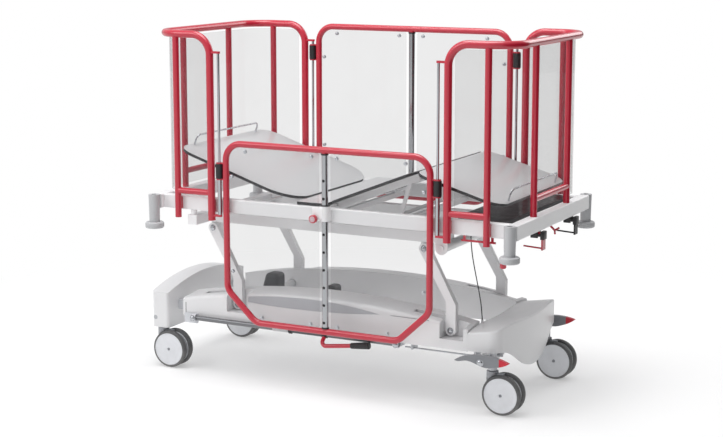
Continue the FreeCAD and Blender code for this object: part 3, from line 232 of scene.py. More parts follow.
def makeFineSurface():
    # soft colour drift, a fine grain for the bump and handling marks in the gloss
    group, given, result = effectGroup(
        "fineSurface",
        [("Vector", "Vector", None), ("Colour", "Color", midGrey), ("Drift", "Float", 0.04),
         ("Drift Scale", "Float", 6.0), ("Grain Scale", "Float", 900.0), ("Roughness", "Float", 0.4),
         ("Gloss Marks", "Float", 0.08)],
        [("Colour", "Color"), ("Roughness", "Float"), ("Height", "Float")])
    place = given["Vector"]
    broad = addNode(group, "TexNoise", {"Vector": place, "Scale": given["Drift Scale"],
                                        "Detail": grain["driftDetail"]})
    centred = calculate(group, "SUBTRACT", broad.outputs["Fac"], 0.5)
    gain = calculate(group, "ADD", calculate(group, "MULTIPLY", centred, given["Drift"]), 1.0)
    tint = addNode(group, "VectorMath", {0: given["Colour"], "Scale": gain}, operation="SCALE")
    fine = addNode(group, "TexNoise", {"Vector": place, "Scale": given["Grain Scale"],
                                       "Detail": grain["grainDetail"]})
    smear = addNode(group, "TexNoise", {"Vector": place, "Scale": grain["smearScale"],
                                        "Detail": grain["smearDetail"], "Roughness": grain["smearRoughness"]})
    spread = remap(group, smear.outputs["Fac"], grain["smearSpan"], (-1.0, 1.0))
    marks = calculate(group, "MULTIPLY", spread, given["Gloss Marks"])
    gloss = calculate(group, "ADD", given["Roughness"], marks)
    feed(group, result, {"Colour": tint.outputs[0], "Roughness": gloss, "Height": fine.outputs["Fac"]})
    return group


def makeFloorDust():
    # pale dust that settles low down, near the wheels
    group, given, result = effectGroup(
        "floorDust",
        [("Vector", "Vector", None), ("Colour", "Color", midGrey), ("Dust", "Color", settledDust["colour"]),
         ("Top", "Float", settledDust["top"]), ("Amount", "Float", settledDust["amount"])],
        [("Colour", "Color")])
    height = addNode(group, "SeparateXYZ", {0: given["Vector"]}).outputs["Z"]
    low = remap(group, height, (0.0, given["Top"]), (1.0, 0.0))
    patch = addNode(group, "TexNoise", {"Vector": given["Vector"], "Scale": settledDust["scale"],
                                        "Detail": settledDust["detail"]})
    dusty = calculate(group, "MULTIPLY", low, patch.outputs["Fac"])
    share = calculate(group, "MULTIPLY", dusty, given["Amount"])
    feed(group, result, {"Colour": mixed(group, "RGBA", share, given["Colour"], given["Dust"])})
    return group


def makeBoxMask():
    # 1 inside the box between two corners, 0 outside
    group, given, result = effectGroup(
        "boxMask",
        [("Vector", "Vector", None), ("Low", "Vector", (0.0, 0.0, 0.0)), ("High", "Vector", (1.0, 1.0, 1.0))],
        [("Mask", "Float")])
    over = combine(group, "SUBTRACT", given["Vector"], given["Low"])
    under = combine(group, "SUBTRACT", given["High"], given["Vector"])
    least = combine(group, "MINIMUM", over, under)
    split = addNode(group, "SeparateXYZ", {0: least}).outputs
    leastOfAll = calculate(group, "MINIMUM", calculate(group, "MINIMUM", split["X"], split["Y"]), split["Z"])
    feed(group, result, {"Mask": calculate(group, "GREATER_THAN", leastOfAll, 0.0)})
    return group


def makeRimMask():
    # 1 on faces that stand upright, such as a board's edge
    group, given, result = effectGroup(
        "rimMask", [("Normal", "Vector", None), ("Steepest", "Float", steepest)], [("Mask", "Float")])
    upward = addNode(group, "SeparateXYZ", {0: given["Normal"]}).outputs["Z"]
    size = calculate(group, "ABSOLUTE", upward)
    feed(group, result, {"Mask": calculate(group, "LESS_THAN", size, given["Steepest"])})
    return group


fineSurface = makeFineSurface()
floorDust = makeFloorDust()
boxMask = makeBoxMask()
rimMask = makeRimMask()


def newFinish(name, colour, roughness, metallic=0.0, drift=0.04, driftScale=6.0, grainScale=900.0, bump=0.05,
              bumpDepth=0.0004, marks=0.06, coat=0.0, coatRoughness=0.1, dust=0.0):
    material = bpy.data.materials.new(name)
    material.use_nodes = True
    tree = material.node_tree
    place = addNode(tree, "TexCoord").outputs["Object"]
    feeds = {"Vector": place, "Colour": colour, "Drift": drift, "Drift Scale": driftScale,
             "Grain Scale": grainScale, "Roughness": roughness, "Gloss Marks": marks}
    surface = addNode(tree, "Group", feeds, node_tree=fineSurface).outputs
    shown = surface["Colour"]
    if dust:
        feeds = {"Vector": place, "Colour": shown, "Amount": dust}
        shown = addNode(tree, "Group", feeds, node_tree=floorDust).outputs["Colour"]
    relief = addNode(tree, "Bump", {"Strength": bump, "Distance": bumpDepth, "Height": surface["Height"]})
    feed(tree, tree.nodes["Principled BSDF"],
         {"Base Color": shown, "Roughness": surface["Roughness"], "Metallic": metallic,
          "Normal": relief.outputs["Normal"], "Coat Weight": coat, "Coat Roughness": coatRoughness})
    return material


def patchFinish(material, mask, colour, roughness, metallic=0.0):
    # where the mask is 1, the finish takes another colour, gloss and metal
    tree = material.node_tree
    shader = tree.nodes["Principled BSDF"]
    for label, kind, value in (("Base Color", "RGBA", colour), ("Roughness", "FLOAT", roughness),
                               ("Metallic", "FLOAT", metallic)):
        socket = shader.inputs[label]
        under = socket.links[0].from_socket if socket.is_linked else socket.default_value
        tree.links.new(mixed(tree, kind, mask, under, value), socket)


def patchBox(material, low, high, look):
    tree = material.node_tree
    place = addNode(tree, "TexCoord").outputs["Object"]
    mask = addNode(tree, "Group", {"Vector": place, "Low": low, "High": high}, node_tree=boxMask)
    patchFinish(material, mask.outputs["Mask"], *look)


def patchRim(material, look):
    tree = material.node_tree
    normal = addNode(tree, "TexCoord").outputs["Normal"]
    mask = addNode(tree, "Group", {"Normal": normal}, node_tree=rimMask)
    patchFinish(material, mask.outputs["Mask"], *look)


def srgb(red, green, blue):
    light = tuple(((v / 255.0 + 0.055) / 1.055) ** 2.4 if v > 10 else v / 3294.0 for v in (red, green, blue))
    return light + (1.0,)


redPaint = dict(colour=srgb(184, 24, 50), roughness=0.3, drift=0.03, grainScale=700.0, bump=0.03,
                bumpDepth=0.0003, marks=0.02, coat=0.6, coatRoughness=0.16)
finishSettings = {
    "redPaint": redPaint,
    "guardPaint": redPaint,
    "pedalBarPaint": redPaint,
    "whitePaint": dict(colour=srgb(234, 234, 235), roughness=0.38, drift=0.03, grainScale=520.0, bump=0.07,
                       bumpDepth=0.0006, coat=0.15, coatRoughness=0.2),
    "basePaint": dict(colour=srgb(205, 207, 211), roughness=0.42, drift=0.04, grainScale=520.0, bump=0.07,
                      bumpDepth=0.0006, dust=0.25),
    "coverPlastic": dict(colour=srgb(224, 224, 225), roughness=0.34, drift=0.025, driftScale=3.0,
                         grainScale=1500.0, bumpDepth=0.0003, coat=0.2, coatRoughness=0.18, dust=0.12),
    "bumperPlastic": dict(colour=srgb(184, 185, 187), roughness=0.45, grainScale=1300.0, bump=0.1),
    "blackPlastic": dict(colour=srgb(30, 30, 32), roughness=0.42, drift=0.2, grainScale=1400.0, bump=0.12),
    "greyPlastic": dict(colour=srgb(74, 75, 77), roughness=0.45, drift=0.1, grainScale=1300.0, bump=0.12,
                        dust=0.2),
    "laminate": dict(colour=srgb(194, 195, 196), roughness=0.3, drift=0.03, driftScale=4.0, grainScale=700.0,
                     bump=0.02, bumpDepth=0.0002, marks=0.02, coat=0.2, coatRoughness=0.15),
    "coverInset": dict(colour=srgb(178, 180, 184), roughness=0.4, drift=0.03, grainScale=1300.0, bump=0.05,
                       bumpDepth=0.0003, dust=0.1),
    # painted shade for the groove along each side cover: a flat grey line
    "coverLine": dict(colour=srgb(128, 130, 134), roughness=0.6, grainScale=1300.0),
    "knobFace": dict(colour=srgb(196, 166, 172), roughness=0.3, grainScale=1300.0, bump=0.03,
                     bumpDepth=0.0002),
    "chromePlate": dict(colour=srgb(182, 184, 188), roughness=0.09, metallic=1.0, drift=0.05,
                        grainScale=300.0, bump=0.01, bumpDepth=0.0002, marks=0.05),
    "zincPlate": dict(colour=srgb(196, 198, 202), roughness=0.3, metallic=1.0, drift=0.12, driftScale=30.0,
                      grainScale=800.0, bump=0.05, bumpDepth=0.0003, marks=0.1),
    "wheelDisc": dict(colour=srgb(224, 226, 230), roughness=0.36, drift=0.04, grainScale=1200.0, bump=0.06,
                      bumpDepth=0.0003, dust=0.35),
    "tyreRubber": dict(colour=srgb(74, 75, 77), roughness=0.62, drift=0.15, driftScale=20.0,
                       grainScale=1600.0, bump=0.2, dust=0.5),
    "forkPaint": dict(colour=srgb(150, 152, 157), roughness=0.4, drift=0.06, grainScale=600.0, bump=0.1,
                      bumpDepth=0.0006, dust=0.3),
    "pedalPlastic": dict(colour=srgb(126, 128, 132), roughness=0.4, drift=0.05, grainScale=1200.0, bump=0.1,
                         dust=0.2),
    "cableJacket": dict(colour=srgb(24, 24, 26), roughness=0.45, drift=0.2, grainScale=900.0, bump=0.1,
                        bumpDepth=0.0003),
}
finishes = {name: newFinish(name, **settings) for name, settings in finishSettings.items()}
clearSheet = {"tint": srgb(92, 93, 96), "haze": (0.09, 0.11), "marksScale": 9.0, "marksDetail": 6.0,
              "marksRoughness": 0.6, "marksSpan": (0.4, 0.75), "gloss": (0.02, 0.06), "facing": 0.5,
              "bendPower": 5.0, "bendShade": 0.5, "ior": 1.49, "specular": 0.8}


def newClearSheet():
    # lets the lamps through, and looks darker where it is seen along its bend
    material = bpy.data.materials.new("clearSheet")
    material.use_nodes = True
    tree = material.node_tree
    place = addNode(tree, "TexCoord").outputs["Object"]
    marks = addNode(tree, "TexNoise", {"Vector": place, "Scale": clearSheet["marksScale"],
                                       "Detail": clearSheet["marksDetail"],
                                       "Roughness": clearSheet["marksRoughness"]}).outputs["Fac"]
    haze = remap(tree, marks, (0.0, 1.0), clearSheet["haze"])
    path = addNode(tree, "LightPath").outputs
    unlit = calculate(tree, "MAXIMUM", path["Is Shadow Ray"], path["Is Diffuse Ray"])
    facing = addNode(tree, "LayerWeight", {"Blend": clearSheet["facing"]}).outputs["Facing"]
    bend = calculate(tree, "POWER", facing, clearSheet["bendPower"])
    shade = calculate(tree, "MULTIPLY_ADD", bend, clearSheet["bendShade"], haze)
    alpha = calculate(tree, "MULTIPLY", shade, calculate(tree, "SUBTRACT", 1.0, unlit))
    feed(tree, tree.nodes["Principled BSDF"],
         {"Base Color": clearSheet["tint"], "Alpha": alpha, "IOR": clearSheet["ior"],
          "Roughness": remap(tree, marks, clearSheet["marksSpan"], clearSheet["gloss"]),
          "Specular IOR Level": clearSheet["specular"]})
    return material


finishes["clearSheet"] = newClearSheet()

# The side guards' own measures: the near one is down, the far one is up
guards = {"y": 0.371, "tubeX": 0.026, "raisedBy": 0.405}
guardSides = ((-1.0, "near_side", 0.0), (1.0, "far_side", guards["raisedBy"]))

# Parts of a node that have a look of their own: a colour, a roughness and, for metal, how metallic it is. The
# look for the holes is painted shade: near black inside the lock holes of each lock tube
patches = {"tubeZ": (0.2628, 0.9272), "tubeHalfX": 0.0127, "tubeHalfY": 0.0125, "holeHalfX": 0.0036,
           "holeHalfY": 0.0112, "barX": (-0.62, 0.32), "barY": (-0.3232, -0.3028), "barZ": (0.2115, 0.2325),
           "darkBarX": (-0.150, -0.020), "tipX": 0.7235}
looks = {"tube": (srgb(168, 170, 173), 0.12, 1.0), "hole": (srgb(16, 16, 18), 0.6),
         "bar": (srgb(112, 113, 116), 0.34, 0.7), "darkBar": (srgb(70, 71, 74), 0.35, 0.5),
         "tip": (srgb(196, 30, 48), 0.35), "rim": (srgb(34, 34, 36), 0.4)}


def addPatches():
    for side, _, raised in guardSides:
        x, y = guards["tubeX"], side * guards["y"]
        low, high = [z + raised for z in patches["tubeZ"]]
        # chrome on the lock tube, then painted shade, near black, inside its lock holes
        for look in ("tube", "hole"):
            halfX, halfY = patches[look + "HalfX"], patches[look + "HalfY"]
            corners = (x - halfX, y - halfY, low), (x + halfX, y + halfY, high)
            patchBox(finishes["guardPaint"], *corners, looks[look])
    for look in ("bar", "darkBar"):
        corners = zip(patches[look + "X"], patches["barY"], patches["barZ"])
        patchBox(finishes["pedalBarPaint"], *corners, looks[look])
    patchBox(finishes["pedalPlastic"], (patches["tipX"], -1.0, 0.0), (1.0, 1.0, 1.0), looks["tip"])
    patchRim(finishes["laminate"], looks["rim"])


addPatches()
print("stage: finishes")

nodeFinishes = {
    "redPaint": ["end_guard_head", "end_guard_foot", "section_lever", "lock_knob_near", "lock_knob_far",
                 "side_rod"],
    "guardPaint": ["side_guard_near", "side_guard_far"],
    "pedalBarPaint": ["pump_pedal"],
    "whitePaint": ["side_beams", "cross_beams", "bed_crossbars", "prop_racks", "back_frame", "back_prop",
                   "thigh_frame", "knee_prop", "leg_frame", "head_lift_arms", "foot_lift_arms", "lift_frame",
                   "tilt_brackets", "guard_locks"],
    "basePaint": ["base_chassis"],
    "bumperPlastic": ["corner_posts"],
    "clearSheet": ["end_panel_head", "end_panel_foot", "side_panels_near", "side_panels_far"],
    "chromePlate": ["slide_rods"],
    "zincPlate": ["back_retainer", "leg_retainer", "brake_rod"],
    "blackPlastic": ["slide_bushes_near", "slide_bushes_far", "leg_tray", "pump_grip", "tilt_lever"],
    "laminate": ["seat_board", "back_board", "thigh_board", "leg_board"],
    "coverPlastic": ["base_cover_near", "base_cover_far", "base_cover_head", "base_cover_foot"],
    "greyPlastic": ["pump_unit"],
    "pedalPlastic": ["brake_pedals"],
    "cableJacket": ["control_cable"],
    "forkPaint": [name for name in nodes if name.startswith("castor_fork_")],
    "wheelDisc": [name for name in nodes if name.startswith("castor_wheels_")],
}
for finish, names in nodeFinishes.items():
    for name in names:
        nodes[name].data.materials.clear()
        nodes[name].data.materials.append(finishes[finish])
print("stage: node finishes")


# Modelling tools
axisWay = {"X": (1.0, 0.0, 0.0), "Y": (0.0, 1.0, 0.0), "Z": (0.0, 0.0, 1.0)}
detail = {"weld": 0.000005, "spinWeld": 0.00001, "smoothBelow": 35.0, "rodSides": 16, "spinSteps": 40,
          "blockBevel": 0.0015, "bevelSteps": 2, "curveSteps": 12, "curveSides": 4}


def settle(piece, name, finish, body):
    # place goes into the mesh, the normals are made to agree and the piece gets its finish and body
    only(piece)
    piece.name = name
    piece.data.name = name
    bpy.ops.object.transform_apply(location=True, rotation=True, scale=True)
    bpy.ops.object.mode_set(mode="EDIT")
    bpy.ops.mesh.select_all(action="SELECT")
    bpy.ops.mesh.remove_doubles(threshold=detail["weld"])
    bpy.ops.mesh.normals_make_consistent(inside=False)
    bpy.ops.object.mode_set(mode="OBJECT")
    bpy.ops.object.shade_smooth_by_angle(angle=math.radians(detail["smoothBelow"]))
    piece.data.materials.clear()
    piece.data.materials.append(finishes[finish])
    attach(piece, body)
    return piece


def joined(pieces):
    for piece in pieces:
        only(piece)
        bpy.ops.object.transform_apply(location=True, rotation=True, scale=True)
    freshStart()
    for piece in pieces:
        piece.select_set(True)
    bpy.context.view_layer.objects.active = pieces[0]
    bpy.ops.object.join()
    return bpy.context.object


def polygon(corners):
    freshStart()
    bpy.ops.mesh.primitive_circle_add(vertices=len(corners), radius=1.0, fill_type="NGON",
                                      location=(0.0, 0.0, 0.0))
    made = bpy.context.object
    for point, corner in zip(made.data.vertices, corners):
        point.co = corner
    return made


def thicken(piece, way):
    only(piece)
    bpy.ops.object.mode_set(mode="EDIT")
    bpy.ops.mesh.select_all(action="SELECT")
    bpy.ops.mesh.extrude_region_move(TRANSFORM_OT_translate={"value": tuple(way)})
    bpy.ops.object.mode_set(mode="OBJECT")
    return piece


def pickFaces(piece, test):
    # edit mode with only the faces that pass the test selected
    only(piece)
    bpy.ops.object.mode_set(mode="EDIT")
    bpy.ops.mesh.select_mode(type="FACE")
    bpy.ops.mesh.select_all(action="DESELECT")
    bpy.ops.object.mode_set(mode="OBJECT")
    for face in piece.data.polygons:
        face.select = test(face)
    bpy.ops.object.mode_set(mode="EDIT")


def turned(outline, axis, centre, steps):
    # a closed outline of (along the axis, radius) pairs, spun round the axis
    corners = {"X": [(along, 0.0, radius) for along, radius in outline],
               "Y": [(0.0, along, radius) for along, radius in outline],
               "Z": [(radius, 0.0, along) for along, radius in outline]}[axis]
    made = polygon(corners)
    bpy.ops.object.mode_set(mode="EDIT")
    bpy.ops.mesh.select_all(action="SELECT")
    bpy.ops.mesh.delete(type="ONLY_FACE")
    bpy.ops.mesh.select_all(action="SELECT")
    bpy.ops.mesh.spin(steps=steps, angle=math.tau, center=(0.0, 0.0, 0.0), axis=axisWay[axis])
    bpy.ops.mesh.select_all(action="SELECT")
    bpy.ops.mesh.remove_doubles(threshold=detail["spinWeld"])
    bpy.ops.mesh.normals_make_consistent(inside=False)
    bpy.ops.object.mode_set(mode="OBJECT")
    made.location = centre
    return made


def addTurned(name, outline, axis, centres, finish, body, steps=detail["spinSteps"]):
    # one turned shape, repeated at each centre; a centre may carry a side that flips the outline
    made = []
    for centre in centres:
        flip = centre[3] if len(centre) > 3 else 1.0
        made.append(turned([(flip * along, radius) for along, radius in outline], axis, centre[:3], steps))
    return settle(joined(made), name, finish, body)


def block(low, high, bevel=detail["blockBevel"]):
    freshStart()
    bpy.ops.mesh.primitive_cube_add(size=1.0, location=(0.0, 0.0, 0.0))
    made = bpy.context.object
    bpy.ops.object.mode_set(mode="EDIT")
    bpy.ops.mesh.select_all(action="SELECT")
    bpy.ops.transform.resize(value=tuple(h - l for l, h in zip(low, high)))
    bpy.ops.mesh.bevel(offset=bevel, segments=detail["bevelSteps"], affect="EDGES")
    bpy.ops.transform.translate(value=tuple((l + h) / 2 for l, h in zip(low, high)))
    bpy.ops.object.mode_set(mode="OBJECT")
    return made


def rodBetween(start, end, radius):
    start, end = Vector(start), Vector(end)
    freshStart()
    bpy.ops.mesh.primitive_cylinder_add(vertices=detail["rodSides"], radius=radius,
                                        depth=(end - start).length, location=(0.0, 0.0, 0.0))
    made = bpy.context.object
    made.rotation_euler = (end - start).to_track_quat("Z", "Y").to_euler()
    made.location = (start + end) / 2
    return made


def arcThrough(first, middle, last, count):
    # points along the circle through three (x, z) points
    (ax, az), (bx, bz), (cx, cz) = first, middle, last
    a2, b2, c2 = ax * ax + az * az, bx * bx + bz * bz, cx * cx + cz * cz
    d = 2 * (ax * (bz - cz) + bx * (cz - az) + cx * (az - bz))
    ux = (a2 * (bz - cz) + b2 * (cz - az) + c2 * (az - bz)) / d
    uz = (a2 * (cx - bx) + b2 * (ax - cx) + c2 * (bx - ax)) / d
    radius = math.hypot(ax - ux, az - uz)
    start, end = math.atan2(az - uz, ax - ux), math.atan2(cz - uz, cx - ux)
    return [(ux + radius * math.cos(start + (end - start) * k / count),
             uz + radius * math.sin(start + (end - start) * k / count)) for k in range(count + 1)]


# Control cable from the leg tray down into the foot cover. It rides on the bed, so its lower end
# leaves the cover when the lift or the tilt moves.
cable = {"route": ((0.533, -0.172, 0.690), (0.531, -0.172, 0.645), (0.533, -0.172, 0.598),
                   (0.539, -0.172, 0.550), (0.549, -0.172, 0.501), (0.560, -0.172, 0.452),
                   (0.570, -0.172, 0.405), (0.578, -0.172, 0.360), (0.581, -0.172, 0.316)),
         "r": 0.002, "length": 0.3784, "keep": 0.6}


def curveOf(name, points, radius):
    data = bpy.data.curves.new(name, "CURVE")
    data.dimensions = "3D"
    spline = data.splines.new("NURBS")
    spline.points.add(len(points) - 1)
    for at, point in zip(spline.points, points):
        at.co = tuple(point) + (1.0,)
    spline.order_u = 3
    spline.use_endpoint_u = True
    data.resolution_u = detail["curveSteps"]
    data.bevel_depth = radius
    data.bevel_resolution = detail["curveSides"]
    return addObject(name, data)


def addControlCable():
    bare = curveOf("cableLine", cable["route"], 0.0)
    path = [list(v.co) for v in bpy.data.meshes.new_from_object(bare).vertices]
    bpy.data.objects.remove(bare)
    line = curveOf("controlCable", cable["route"], cable["r"])
    line.data.use_fill_caps = True
    only(line)
    bpy.ops.object.convert(target="MESH")
    cord = settle(bpy.context.object, "controlCable", "cableJacket", "bed")
    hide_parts("control_cable")
    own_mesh(cord)


# Panel screws: a domed cap on a washer, on both faces of the clear sheets
screws = {"sides": 20, "washerR": 0.0072, "washerDeep": 0.0012, "capR": 0.0052, "capDeep": 0.0032,
          "straight": 0.6, "domeTop": 0.6, "socket": 0.22, "socketDeep": 0.45, "sheetHalf": 0.002,
          "places": ((-0.319, 0.912), (-0.031, 0.912), (0.076, 0.912), (0.358, 0.912),
                     (-0.252, 0.272), (-0.039, 0.272), (0.076, 0.272), (0.285, 0.272),
                     (-0.380, 0.813), (0.432, 0.813), (-0.380, 0.443), (0.432, 0.443))}


def screwCap(x, y, z, out):
    def rise(share):
        way = (0.0, 0.0, screws["capDeep"] * share)
        bpy.ops.mesh.extrude_region_move(TRANSFORM_OT_translate={"value": way})

    freshStart()
    bpy.ops.mesh.primitive_cylinder_add(vertices=screws["sides"], radius=screws["washerR"],
                                        depth=screws["washerDeep"], location=(0.0, 0.0, 0.0))
    cap = bpy.context.object
    pickFaces(cap, lambda face: face.normal.z > 0.9)
    bpy.ops.mesh.inset(thickness=screws["washerR"] - screws["capR"])
    rise(screws["straight"])
    rise(1.0 - screws["straight"])
    bpy.ops.transform.resize(value=(screws["domeTop"], screws["domeTop"], 1.0))
    bpy.ops.mesh.inset(thickness=screws["capR"] * screws["socket"])
    rise(-screws["socketDeep"])
    bpy.ops.object.mode_set(mode="OBJECT")
    cap.rotation_euler = (math.radians(-90.0 * out), 0.0, 0.0)
    cap.location = (x, y + out * (screws["sheetHalf"] + screws["washerDeep"] / 2), z)
    return cap


def addPanelScrews():
    for side, body, raised in guardSides:
        caps = [screwCap(x, side * guards["y"], z + raised, out)
                for x, z in screws["places"] for out in (-1, 1)]
        settle(joined(caps), "panelScrews_" + body, "zincPlate", body)


# Twin castor wheels: pale discs, a dark tread round each. Outlines count in from a face and down from a rim.
castors = {"wheelR": 0.075, "discR": 0.0655, "wide": 0.024, "apart": 0.046, "trail": 0.045, "y": 0.272,
           "stems": (("head", -0.774), ("foot", 0.667)), "axleR": 0.0062, "steps": 72,
           "treadEdge": ((0.0005, 0.0062), (0.0035, 0.0018), (0.0085, 0.0)), "treadLip": (0.004, 0.001),
           "backEdge": ((0.001, 0.006), (0.0035, 0.001), (0.0045, -0.0006)),
           "frontEdge": ((0.0045, -0.0006), (0.0012, 0.0004), (0.0004, 0.0025), (0.0014, 0.005)),
           "dish": ((0.0026, 0.72), (0.0022, 0.4), (0.0012, 0.3), (0.0008, 0.2)), "hub": (0.001, 0.0012)}


def treadOutline():
    r, disc, half = castors["wheelR"], castors["discR"], castors["wide"] / 2
    edge, (lip, sunk) = castors["treadEdge"], castors["treadLip"]
    left = [(-half, disc)] + [(-half + side, r - down) for side, down in edge]
    right = [(half - side, r - down) for side, down in reversed(edge)] + [(half, disc)]
    return left + right + [(half - lip, disc - sunk), (-half + lip, disc - sunk)]


def discOutline():
    r, axle, half = castors["discR"], castors["axleR"], castors["wide"] / 2
    back, front = castors["hub"]
    outline = [(-half + back, axle)] + [(-half + side, r - down) for side, down in castors["backEdge"]]
    outline += [(half - side, r - down) for side, down in castors["frontEdge"]]
    outline += [(half - side, r * share) for side, share in castors["dish"]]
    return outline + [(half - front, axle)]


def addCastorWheels():
    for end, stem in castors["stems"]:
        for word, side in (("near", -1), ("far", 1)):
            place, body = end + "_" + word, "wheels_" + end + "_" + word
            centres = [(stem + castors["trail"], side * castors["y"] + out * castors["apart"] / 2,
                        castors["wheelR"], out) for out in (-1.0, 1.0)]
            for name, outline, finish in (("castorTread_", treadOutline(), "tyreRubber"),
                                          ("castorDisc_", discOutline(), "wheelDisc")):
                wheel = addTurned(name + place, outline, "Y", centres, finish, body, castors["steps"])
            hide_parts("castor_wheels_" + place)


addControlCable()
addPanelScrews()
addCastorWheels()
print("stage: cable, panel screws, castor wheels")


# Domed bolts at the lift arms' pivots, on the brake pedals and on the pedal bar's brackets
bolts = {"dome": ((0.0, 0.0), (0.0, 0.0128), (0.0012, 0.0128), (0.0016, 0.0102), (0.0052, 0.0098),
                  (0.0074, 0.0074), (0.0086, 0.0038), (0.0089, 0.0)),
         "armY": 0.2519, "arms": (("head_arms", -0.433), ("foot_arms", 0.488)), "low": 0.281, "high": 0.580,
         "back": 0.111, "pedals": ((0.651, -0.3519, 0.203, -1.0), (0.651, 0.3519, 0.205, 1.0)),
         "bar": ((-0.597, -0.3278, 0.222, -1.0), (0.298, -0.3278, 0.222, -1.0))}


def addBolts():
    for body, x in bolts["arms"]:
        ends = ((x, bolts["low"]), (x - bolts["back"], bolts["high"]))
        centres = [(px, side * bolts["armY"], pz, side) for px, pz in ends for side in (-1.0, 1.0)]
        addTurned("pivotBolts_" + body, bolts["dome"], "Y", centres, "chromePlate", body)
    addTurned("brakePedalBolts", bolts["dome"], "Y", bolts["pedals"], "chromePlate", "brakes")
    addTurned("pedalBarBolts", bolts["dome"], "Y", bolts["bar"], "chromePlate", "base")


# Black collars where the lock tubes meet their rails, and a black washer on each lock sleeve
collars = {"inner": 0.0121, "outer": 0.0142, "tall": 0.006, "round": 0.001, "low": 0.2622, "high": 0.9276,
           "washerZ": 0.7311, "washerInner": 0.0127, "washerR": 0.0204, "washerTall": 0.003}


def sleeveOutline(inner, outer, tall):
    edge = collars["round"]
    return ((0.0, inner), (0.0, outer), (tall - edge, outer), (tall, outer - edge), (tall, inner))


def addCollars():
    x = guards["tubeX"]
    collar = sleeveOutline(collars["inner"], collars["outer"], collars["tall"])
    for side, body, raised in guardSides:
        y = side * guards["y"]
        centres = [(x, y, collars["low"] + raised), (x, y, collars["high"] + raised, -1.0)]
        addTurned("tubeCollars_" + body, collar, "Z", centres, "blackPlastic", body)
    washer = sleeveOutline(collars["washerInner"], collars["washerR"], collars["washerTall"])
    centres = [(x, side * guards["y"], collars["washerZ"]) for side in (-1, 1)]
    addTurned("lockWashers", washer, "Z", centres, "blackPlastic", "bed")


# Black rings sunk round the lock holes of each lock tube: painted shade that widens the dark of each hole
lockHoles = {"faceY": 0.3834, "from": 0.286, "step": 0.0675, "count": 9, "inner": 0.0030, "outer": 0.0054,
             "deep": 0.0026, "chamfer": (0.0004, 0.0006), "steps": 24}


def addHoleShadeRings():
    inner, outer, deep = lockHoles["inner"], lockHoles["outer"], lockHoles["deep"]
    back, shrink = lockHoles["chamfer"]
    shadeRing = ((-deep, inner), (-deep, outer), (-back, outer), (0.0, outer - shrink), (0.0, inner),
              (-deep, inner))
    for side, body, raised in guardSides:
        x, y, lowest = guards["tubeX"], side * lockHoles["faceY"], lockHoles["from"] + raised
        centres = [(x, y, lowest + k * lockHoles["step"], side) for k in range(lockHoles["count"])]
        addTurned("holeSleeves_" + body, shadeRing, "Y", centres, "blackPlastic", body, lockHoles["steps"])


# Pale discs let into the lock knobs, each with a screw
knobs = {"x": -0.006, "faceY": 0.4119, "z": 0.684,
         "disc": ((0.0, 0.0), (0.0, 0.0112), (0.0008, 0.0112), (0.0014, 0.0104), (0.0016, 0.0)),
         "screw": ((0.0014, 0.0), (0.0014, 0.0034), (0.0026, 0.0030), (0.0028, 0.0))}


def addKnobDiscs():
    for side, body in ((-1.0, "near_knob"), (1.0, "far_knob")):
        centre = [(knobs["x"], side * knobs["faceY"], knobs["z"], side)]
        addTurned("knobDisc_" + body, knobs["disc"], "Y", centre, "knobFace", body)
        addTurned("knobScrew_" + body, knobs["screw"], "Y", centre, "zincPlate", body)


# Fittings on the pedal bar: a pale sleeve with a screw, a black clip and the collar that holds the red stalk
barFittings = {"y": -0.313, "z": 0.222, "inner": 0.0100, "round": 0.0006,
               "tubes": (("barSleeve", -0.235, -0.165, 0.0112, "bumperPlastic"),
                         ("barClip", -0.163, -0.151, 0.0138, "blackPlastic"),
                         ("stalkCollar", -0.018, 0.004, 0.0132, "blackPlastic")),
               "screw": ((0.0, 0.0), (0.0, 0.0028), (0.0012, 0.00224), (0.0014, 0.0)),
               "screwPlace": (-0.223, -0.324)}


def addBarFittings():
    y, z, inner, edge = (barFittings[key] for key in ("y", "z", "inner", "round"))
    for name, start, end, outer, finish in barFittings["tubes"]:
        long = end - start
        tube = ((0.0, inner), (0.0, outer - edge), (edge, outer), (long - edge, outer), (long, outer - edge),
                (long, inner))
        addTurned(name, tube, "X", [(start, y, z)], finish, "pedal")
    x, screwY = barFittings["screwPlace"]
    addTurned("barSleeveScrew", barFittings["screw"], "Y", [(x, screwY, z, -1.0)], "zincPlate", "pedal")


# Foot levers: black housings and handle shells, and thin rods below them
levers = {"near": ("section_handle", -0.115, "redPaint"), "far": ("tilt_handle", 0.229, "blackPlastic"),
          "cheekY": (0.0104, 0.017), "cheekX": (0.750, 0.7785), "cheekZ": (0.634, 0.6648), "roofZ": 0.6575,
          "roofHalf": 0.0114, "shellX": (0.7878, 0.8022), "shellZ": (0.6285, 0.6595), "shellHalf": 0.0168,
          "shellRound": 0.002, "rodX": (0.718, 0.7935), "rodZ": (0.5985, 0.5945), "rodR": 0.0031}


def addLeverParts():
    (inner, outer), (x0, x1), (z0, z1) = levers["cheekY"], levers["cheekX"], levers["cheekZ"]
    (shellX0, shellX1), (shellZ0, shellZ1) = levers["shellX"], levers["shellZ"]
    (rodX0, rodX1), (rodZ0, rodZ1) = levers["rodX"], levers["rodZ"]
    roof, half = levers["roofHalf"], levers["shellHalf"]
    cheeks = ((-outer, -inner), (inner, outer))
    for key in ("near", "far"):
        body, y, finish = levers[key]
        housing = [block((x0, y + low, z0), (x1, y + high, z1)) for low, high in cheeks]
        housing.append(block((x0, y - roof, levers["roofZ"]), (x1, y + roof, z1)))
        settle(joined(housing), "leverHousing_" + key, "blackPlastic", "bed")
        shell = block((shellX0, y - half, shellZ0), (shellX1, y + half, shellZ1), levers["shellRound"])
        settle(shell, "leverShell_" + key, "blackPlastic", body)
        rod = rodBetween((rodX0, y, rodZ0), (rodX1, y, rodZ1), levers["rodR"])
        settle(rod, "leverRod_" + key, finish, body)


